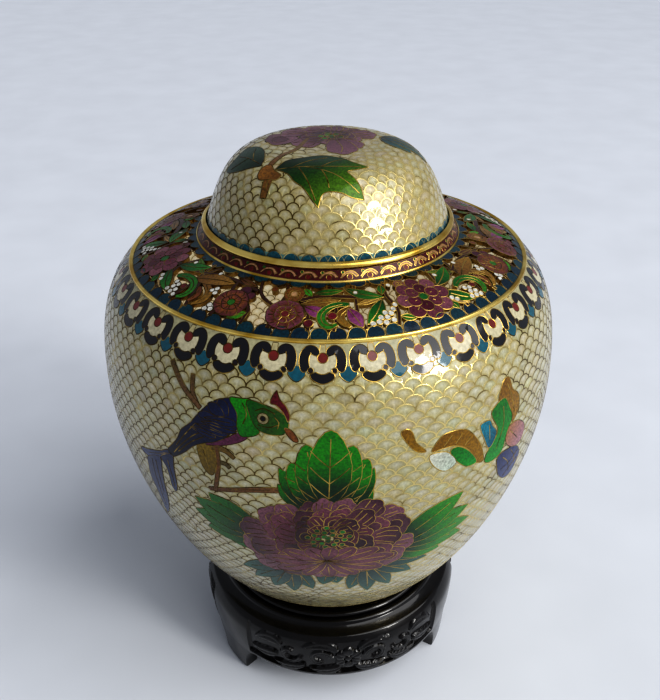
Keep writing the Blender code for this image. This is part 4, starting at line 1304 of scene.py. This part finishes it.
def make_collar():
    """The neck, the ledge that carries the lid, and the band of red cells round it."""
    inner = NECK_RADIUS - JAR_WALL
    top = float(BODY.profile(BODY.s[-1], -JAR_WALL)[1])
    neck = turned("jar_neck", [
        (COLLAR_RADIUS, COLLAR), (COLLAR_RADIUS, COLLAR + 0.5), (COLLAR_RADIUS - 0.4, COLLAR + 1.0),
        (LEDGE_RADIUS - 0.1, LEDGE - 0.1), (NECK_RADIUS, LEDGE), (NECK_RADIUS, LEDGE + NECK_HEIGHT - 0.5),
        (NECK_RADIUS - 0.5, LEDGE + NECK_HEIGHT), (inner + 0.5, LEDGE + NECK_HEIGHT),
        (inner, LEDGE + NECK_HEIGHT - 0.5), (inner, LEDGE - JAR_WALL), (LEDGE_RADIUS - 0.9, LEDGE - JAR_WALL),
        (COLLAR_RADIUS - 1.0, top)], closed=True)
    dress(neck, copper, "jar_enamel")
    wall = Wall([(COLLAR_RADIUS - 0.2, COLLAR + 0.6), (LEDGE_RADIUS + 0.1, LEDGE - 0.1)])
    high = wall.s[-1]
    band = Drawing(Sheet(wall, high / 2), step=0.6, count=44)
    half = band.half
    arc = smooth([(-half * 0.8, high * 0.2), (-half * 0.3, high * 0.66), (half * 0.4, high * 0.72),
                  (half * 0.85, high * 0.3)], closed=False)
    band.form(ribbon(arc, np.linspace(0.5, 1.0, len(arc))), "#d09a70")
    band.form(disc((half * 0.1, high * 0.3), 1.0, 10), "#7a1414")
    band.form(disc((-half * 0.55, high * 0.75), 0.6, 8), "#1f6a20")
    band.form([(-half, 0), (half, 0), (half, high), (-half, high)], "#5a0c0e", bare=True)
    lay_pieces("collar", [band], colour_enamel, picture_wire, "jar_enamel", -0.6, 0.12, weld=True)
    rounded_ring("collar_bead", BODY, BODY.s[-1] - 0.5, 1.0, 0.5, "gilt_brass", out=0.1)
    rounded_ring("shoulder_ring", BODY, RING_LOW, 1.9, 1.1, "gilt_brass", "gilt_shoulder_ring")


def draw_lid():
    """The spray on the lid: a plum flower on the crown, a branch and leaves."""
    drawing = Drawing(Crown(LID))
    dark, deep, bright = "#0c2803", "#1f5206", "#68981a"
    leaf = np.array([(-18.5, -24.8), (-14.5, -20.2), (-9, -18.2), (-1.5, -16), (5.2, -19), (9.5, -22.8),
                     (14.5, -25), (10.5, -27.2), (7, -28.8), (9.8, -32), (12, -35.5), (13.5, -39.5),
                     (9, -39.5), (5, -38.2), (0.2, -38), (-2.2, -39.5), (-3.5, -43.5), (-6, -40.2),
                     (-8.8, -35.5), (-11.8, -32.5), (-14, -28.5)])
    veins = [((-18, -25), (-8, -25.5), (2, -26), (12, -25.3)), ((-8, -25.5), (2, -30), (11.5, -37.5)),
             ((-10, -26), (-7, -33), (-4.5, -41)), ((-2, -25.8), (3, -21.5), (7, -20)),
             ((-12, -25.2), (-6, -21), (0, -18.5)), ((-2, -28), (0, -33), (0.5, -36.5))]
    drawing.form(smooth(leaf, tips=(0, 6, 11, 16)), shade((-12, -18), (4, -38), dark, deep, bright), *veins)
    knob = smooth([(-25, -24), (-22.5, -21.2), (-20, -21.2), (-18.8, -25), (-16.4, -28.4), (-18.4, -30),
                   (-21, -28.8), (-24.8, -27)])
    drawing.form(knob, shade((-25, -24), (-17, -29), "#b87c2c", "#85581c"))
    twig(drawing, ((-21, -28.5), (-22.6, -31.5), (-24.4, -35)), (3.6, 2.6), "#94662a")
    twig(drawing, ((-7.2, 5), (-11.2, -8), (-16.2, -14.8), (-20.6, -22)), (1.3, 2.2), "#94662a")
    side_leaf = smooth([(-39.8, -7), (-36, -5.8), (-33, -3), (-30.5, -0.8), (-26.8, -1.8), (-23.8, -6),
                        (-22.5, -14), (-23.8, -20.2), (-28.2, -18.8), (-33.8, -16.2), (-38.5, -11.5)],
                       tips=(7,))
    drawing.form(side_leaf, shade((-24, -18), (-34, -4), "#0a2c10", "#1f4a24", "#3a5a44"),
                 ((-24.5, -18.5), (-28.5, -12), (-33, -6)), ((-27, -14), (-27, -9), (-26.5, -4)),
                 ((-29, -11.5), (-33, -12), (-37, -11)))
    blades(drawing, np.array([20.0, 7.0]), ((40.0, -1.5), (37.5, 8.5), (31.5, -5.5)), 8.5,
           "#123a44", "#2a5f5a", "#4a7a72")
    middle = np.array([1.5, 8.0])
    draw_stamens(drawing, middle, 1.2, 8)
    around = (0, 45, 90, 135, 180, 215, 250, 275, 298, 325, 360)
    reaches = (19, 15, 14, 18, 27, 22, 10, 13, 16, 13, 19)
    plum, rng = ("#6a2c40", "#a26a7c"), random.Random(7)
    draw_petals(drawing, middle, around, reaches, ((0.55, 6, 2, "#44182a", "#7c4054"),), rng,
                near=13.0)
    for tip, width in (((6.6, -15.2), 12.5), ((12.5, -7.5), 9.0)):
        drawing.form(fan_petal(middle + (1.5, -2), tip, width), shade(middle, tip, *plum),
                     [middle + (2.0, -6), (np.array(tip) + middle) / 2 + (1.5, -3),
                      np.array(tip) + (-1.5, 2.6)])
    draw_petals(drawing, middle, around, reaches, ((1.0, 10, 3, *plum),), rng, near=13.0)
    return drawing


def make_lid():
    """The lid's copper dome, its scaled ground, its picture and its rim."""
    whole = LID.s[-1]
    outer = wall_points(LID, np.linspace(0, whole - 1, 40), -SET_BACK)
    inner = wall_points(LID, np.linspace(whole - 1, 2, 24), -LID_WALL)
    top, under = LID.profile(whole, -SET_BACK), LID.profile(whole, -LID_WALL)
    dome = turned("lid_copper_dome", [(LID_RADIUS - LID_WALL, lid_low.z)] + outer
                  + [(POLE, float(top[1])), (POLE, float(under[1]))] + inner, closed=True)
    dress(dome, copper, "lid_enamel", "lid")
    picture = draw_lid()
    scales = Scales(LID, 1.6, whole - 4, seed=11, width=LID_SCALE_WIDTH)
    add_scale_work(LID, scales, "lid_scale", "lid_enamel", "#b0a98c", wires=1, seed=8, covers=[picture])
    lay_pieces("lid_picture", [picture], colour_enamel, picture_wire, "lid_enamel")
    border = Drawing(Sheet(LID, 2), step=1.1, count=46)
    half = border.half
    border.form([(x, max(y, 0.2)) for x, y in disc((0, 1.5), 3.0, 20)],
                shade((0, 1), (0, 5), "#0e4052", "#2a7a8a"))
    border.form([(-half, 0.2), (half, 0.2), (half, 3.6), (0.0, 4.0), (-half, 3.6)], "#6f9a94", bare=True)
    lay_pieces("lid_border", [border], colour_enamel, wire_metal, "lid_enamel", weld=True)
    outline = [(LID_RADIUS + out, lid_low.z + up) for out, up in (
        (-0.4, 0), (1.2, 0), (1.6, 0.6), (1.5, 1.4), (0.9, 2.0), (-0.1, 2.2), (-0.4, 1.4))]
    dress(turned("lid_rim", outline, closed=True), gilding, "gilt_brass", "gilt_lid_rim")


# Stand

def apron_radius(z):
    """The apron's outer radius at a height."""
    widest = FOOT_HEIGHT + 0.7 * APRON_HEIGHT
    above = APRON_RADIUS - APRON_SHOULDER * np.clip((z - widest) / (APRON_TOP - widest), 0, 1) ** 2
    below = APRON_TUCK * np.clip((widest - z) / (widest - FOOT_HEIGHT), 0, 1) ** 2
    foot = (FOOT_TUCK - APRON_TUCK) * np.clip(1 - z / FOOT_HEIGHT, 0, 1)
    return above - below - foot


def carving(high, half):
    """Flower, leaves and curls of one panel with their spines, in mm from the panel's middle and foot."""
    along, across = half / 48, high / 19

    def leaf(*ends_and_handles, width):
        """A leaf's outline and its spine."""
        spine = curve(*ends_and_handles, 14)
        t = np.linspace(0, 1, 15)
        return ribbon(spine, width * (0.12 + np.sin(math.pi * t ** 0.8) ** 0.9)), spine

    def curl(x, y, radius, start, turn):
        """A curl's outline and its spine."""
        angles = np.radians(start + turn * np.linspace(0, 1, 22))
        reach = radius * np.linspace(1, 0.28, 22)
        spine = np.stack([x + reach * np.cos(angles), y + reach * np.sin(angles)], -1)
        return ribbon(spine, 3.2 * np.linspace(0.75, 1, 22)), spine

    right = [leaf((3, 5), (6, 1), (12, 0.6), (18, 3), width=4.2),
             leaf((4, 14), (8, 18.6), (15, 18.4), (21, 15), width=4.0),
             curl(12.6, 9.4, 5.4, 175, -300), curl(26.4, 10.2, 5.2, -175, 300),
             leaf((19, 5), (23, 1), (29, 0.6), (35, 3), width=4.0),
             leaf((30, 14), (34, 18), (39, 17), (44, 13), width=4.6),
             leaf((32, 8), (36, 6), (41, 5), (46, 7), width=4.6)]
    shapes, flower_at = [], (0, 9.6)
    for i in range(6):
        way = direction(90 + 60 * i)
        shapes.append((blade(way * 1.2 + flower_at, way * 6.4 + flower_at, 5.2, 0.6, 0.6),
                       np.array([way * 2.2 + flower_at, way * 5.6 + flower_at])))
    shapes.append((disc(flower_at, 1.7), None))
    for outline, spine in right:
        shapes += [(outline, spine), (outline * (-1, 1), spine * (-1, 1))]
    return [(outline * (along, across), None if spine is None else spine * (along, across))
            for outline, spine in shapes]


def carved_depth(x, y, high, half):
    """How far the carved face lies inside the apron's face, at places of one panel.

    Each shape stands up with rounded edges and has a groove along its spine.
    """
    places = np.stack([x, y], -1)
    depth = np.full(len(places), CARVING_DEPTH)
    for outline, spine in carving(high, half):
        near = boxed(outline, places)
        near[near] = inside(outline, places[near])
        away = edge_distance(outline, places[near])
        rise = CARVING_DEPTH * (0.45 + 0.55 * np.sqrt(1 - (1 - np.clip(away / 1.5, 0, 1)) ** 2))
        rise *= np.clip(away / 0.25, 0, 1)
        if spine is not None:
            off = edge_distance(np.vstack([spine, spine[::-1]]), places[near])
            rise -= 0.4 * np.exp(-(off / 0.32) ** 2)
        depth[near] = np.minimum(depth[near], CARVING_DEPTH - rise)
    margin = np.minimum(np.minimum(y, high - y), half - np.abs(x))
    return depth * np.clip(margin / 0.5, 0, 1)


def make_stand():
    """The turned top and the carved apron with its three feet."""
    per_degree = math.radians(APRON_RADIUS)
    span = 360 / FOOT_COUNT
    foot_half, reach = FOOT_WIDTH / 2 / per_degree, FOOT_BRACKET / per_degree
    fine = foot_half + 1.4 * reach
    a = np.concatenate([np.arange(0, fine, 0.25), np.arange(fine, span / 2, 0.44)])
    a = np.unique(np.concatenate([a, span - a]))
    a = a[(a >= 0) & (a < span)]
    from_foot = np.minimum(a, span - a)
    edge = FOOT_HEIGHT * np.interp(from_foot, foot_half + reach * np.array([0, 0.1, 0.22, 0.35, 0.6, 1.0]),
                                   (0, 0.4, 0.6, 0.75, 0.91, 1.0))
    t = np.linspace(0, 1, 50)[:, None]
    z = edge + (APRON_TOP - edge) * t
    high = APRON_HEIGHT - 2 * PANEL_MARGIN
    half = (span - 2 * PANEL_END / per_degree) * per_degree / 2
    x = np.broadcast_to((a - span / 2) * per_degree, z.shape)
    y = z - FOOT_HEIGHT - PANEL_MARGIN
    panel = (np.abs(x) < half) & (y > 0) & (y < high)
    depth = np.zeros(z.shape)
    depth[panel] = carved_depth(x[panel], y[panel], high, half)
    corner = np.clip(1 - (z - edge) / 0.8, 0, 1)
    depth += 0.8 * (1 - np.sqrt(1 - corner ** 2))
    rings_r = np.vstack([apron_radius(z) - depth, np.full((2, len(a)), APRON_INSIDE)])
    rings_z = np.vstack([z, z[-1:], z[:1]])
    azimuth = np.radians(FOOT_AZIMUTH + np.concatenate([a + span * i for i in range(FOOT_COUNT)]))
    rings_r, rings_z = np.tile(rings_r, FOOT_COUNT), np.tile(rings_z, FOOT_COUNT)
    points = np.stack([rings_r * np.sin(azimuth), -rings_r * np.cos(azimuth), rings_z], -1) * MM
    stock = Stock()
    stock.add(points, strip_faces(*rings_r.shape, closed_rows=True, closed_columns=True), (1, 1, 1))
    stock.piece("stand_apron", lacquer, "lacquered_wood", sharp=50)

    def bead(outer, inner, low):
        """The upper half of a bead, from its outer edge to its inner one."""
        return [((outer + inner) / 2 + (outer - inner) / 2 * math.cos(angle),
                 low + BEAD_HEIGHT * math.sin(angle))
                for angle in np.linspace(0, math.pi, 9)]

    rim = float(apron_radius(APRON_TOP))
    low = stand_high.z - BEAD_DROP - BEAD_HEIGHT
    board = [(POLE, BOARD_LOW), (APRON_INSIDE, BOARD_LOW), (APRON_INSIDE, APRON_TOP - 0.02),
             (rim - 0.02, APRON_TOP), (rim - 0.3, APRON_TOP + 0.4), (rim - 0.9, APRON_TOP + 0.6),
             ((rim + BEAD_OUT) / 2, APRON_TOP + 0.9), (BEAD_OUT + 0.3, low - 0.3)]
    beads = bead(BEAD_OUT, BEAD_BETWEEN, low) + bead(BEAD_BETWEEN, BEAD_IN, stand_high.z - BEAD_HEIGHT)
    seat = [(BEAD_IN - 0.4, stand_high.z - BEAD_HEIGHT - 0.5), (SEAT_RADIUS + 1.6, SEAT + 0.8),
            (SEAT_RADIUS, SEAT + 0.6), (SEAT_RADIUS, SEAT), (POLE, SEAT)]
    dress(turned("stand_top", board + beads + seat), lacquer, "lacquered_wood", "stand")


jar_drawings = [draw_heads(), draw_flower(), draw_back_spray(), draw_bird(), draw_butterfly()]
make_body(jar_drawings)
make_jar_pictures(*jar_drawings)
make_shoulder()
make_collar()
make_lid()
make_stand()


# Room: a plain pale floor under wide, soft daylight from the right, and one window that shows in the glaze

JAR_MIDDLE = Vector((0, 0, 0.15))


def make_room():
    """The floor and the room's even light."""
    bpy.ops.mesh.primitive_plane_add(size=8.0, location=(0, 1.5, 0))
    floor = bpy.context.object
    floor.name = "floor"
    material, tree, shader = finish("pale_cloth_floor", metallic=0.0, roughness=0.9, coat=0.0)
    colour = add_node(tree, "ShaderNodeRGB")
    colour.outputs[0].default_value = hex_colour("#d3d6dc")
    mottle(tree, shader, colour.outputs[0], grain(tree, 60.0, 2.0), 0.95, 1.0)
    floor.data.materials.append(material)
    floor.select_set(False)
    world = bpy.data.worlds.new("soft_room")
    bpy.context.scene.world = world
    world.use_nodes = True
    back = world.node_tree.nodes["Background"]
    back.inputs["Color"].default_value = hex_colour("#dfe4ee")
    back.inputs["Strength"].default_value = 0.38


def add_light(data, azimuth, elevation, distance=0.0):
    """Put a light up so that it faces the jar from a direction."""
    a, e = math.radians(azimuth), math.radians(elevation)
    way = Vector((math.sin(a) * math.cos(e), -math.cos(a) * math.cos(e), math.sin(e)))
    light = bpy.data.objects.new(data.name, data)
    light.location = JAR_MIDDLE + way * distance
    light.rotation_euler = (-way).to_track_quat("-Z", "Y").to_euler()
    bpy.context.scene.collection.objects.link(light)


def make_lights():
    """The window and the daylight over the whole floor."""
    window = bpy.data.lights.new("window", "AREA")
    window.shape = "RECTANGLE"
    window.size = 0.4
    window.size_y = 0.9
    window.energy = 18.0
    window.color = linear("#fffdf8")
    add_light(window, azimuth=52, elevation=26, distance=2.2)
    daylight = bpy.data.lights.new("daylight", "SUN")
    daylight.energy = 1.64
    daylight.angle = math.radians(56)
    add_light(daylight, azimuth=61, elevation=46)


CAMERA_PLACE = (0.0, -0.3144, 0.3339)
CAMERA_TURNS = (30.261, 0.113, -0.353)          # degrees down, to the right and rolled
SENSOR, LENS = 36.0, 43.71


def make_camera():
    """The photograph's view: seen from the front and above."""
    pitch, pan, roll = (math.radians(degrees) for degrees in CAMERA_TURNS)
    forward = Vector((math.sin(pan) * math.cos(pitch), math.cos(pan) * math.cos(pitch), -math.sin(pitch)))
    right = forward.cross(Vector((0, 0, 1))).normalized()
    up = right.cross(forward)
    right, up = (math.cos(roll) * right + math.sin(roll) * up, math.cos(roll) * up - math.sin(roll) * right)
    data = bpy.data.cameras.new("camera")
    data.sensor_width = SENSOR
    data.lens = LENS
    data.clip_start = 0.01
    data.clip_end = 20.0
    camera = bpy.data.objects.new("camera", data)
    turn = Matrix((right, up, -forward)).transposed().to_4x4()
    camera.matrix_world = Matrix.Translation(CAMERA_PLACE) @ turn
    bpy.context.scene.collection.objects.link(camera)
    bpy.context.scene.camera = camera


make_room()
make_lights()
make_camera()
bpy.context.scene.view_settings.view_transform = "Standard"
bpy.context.scene.view_settings.look = "High Contrast"
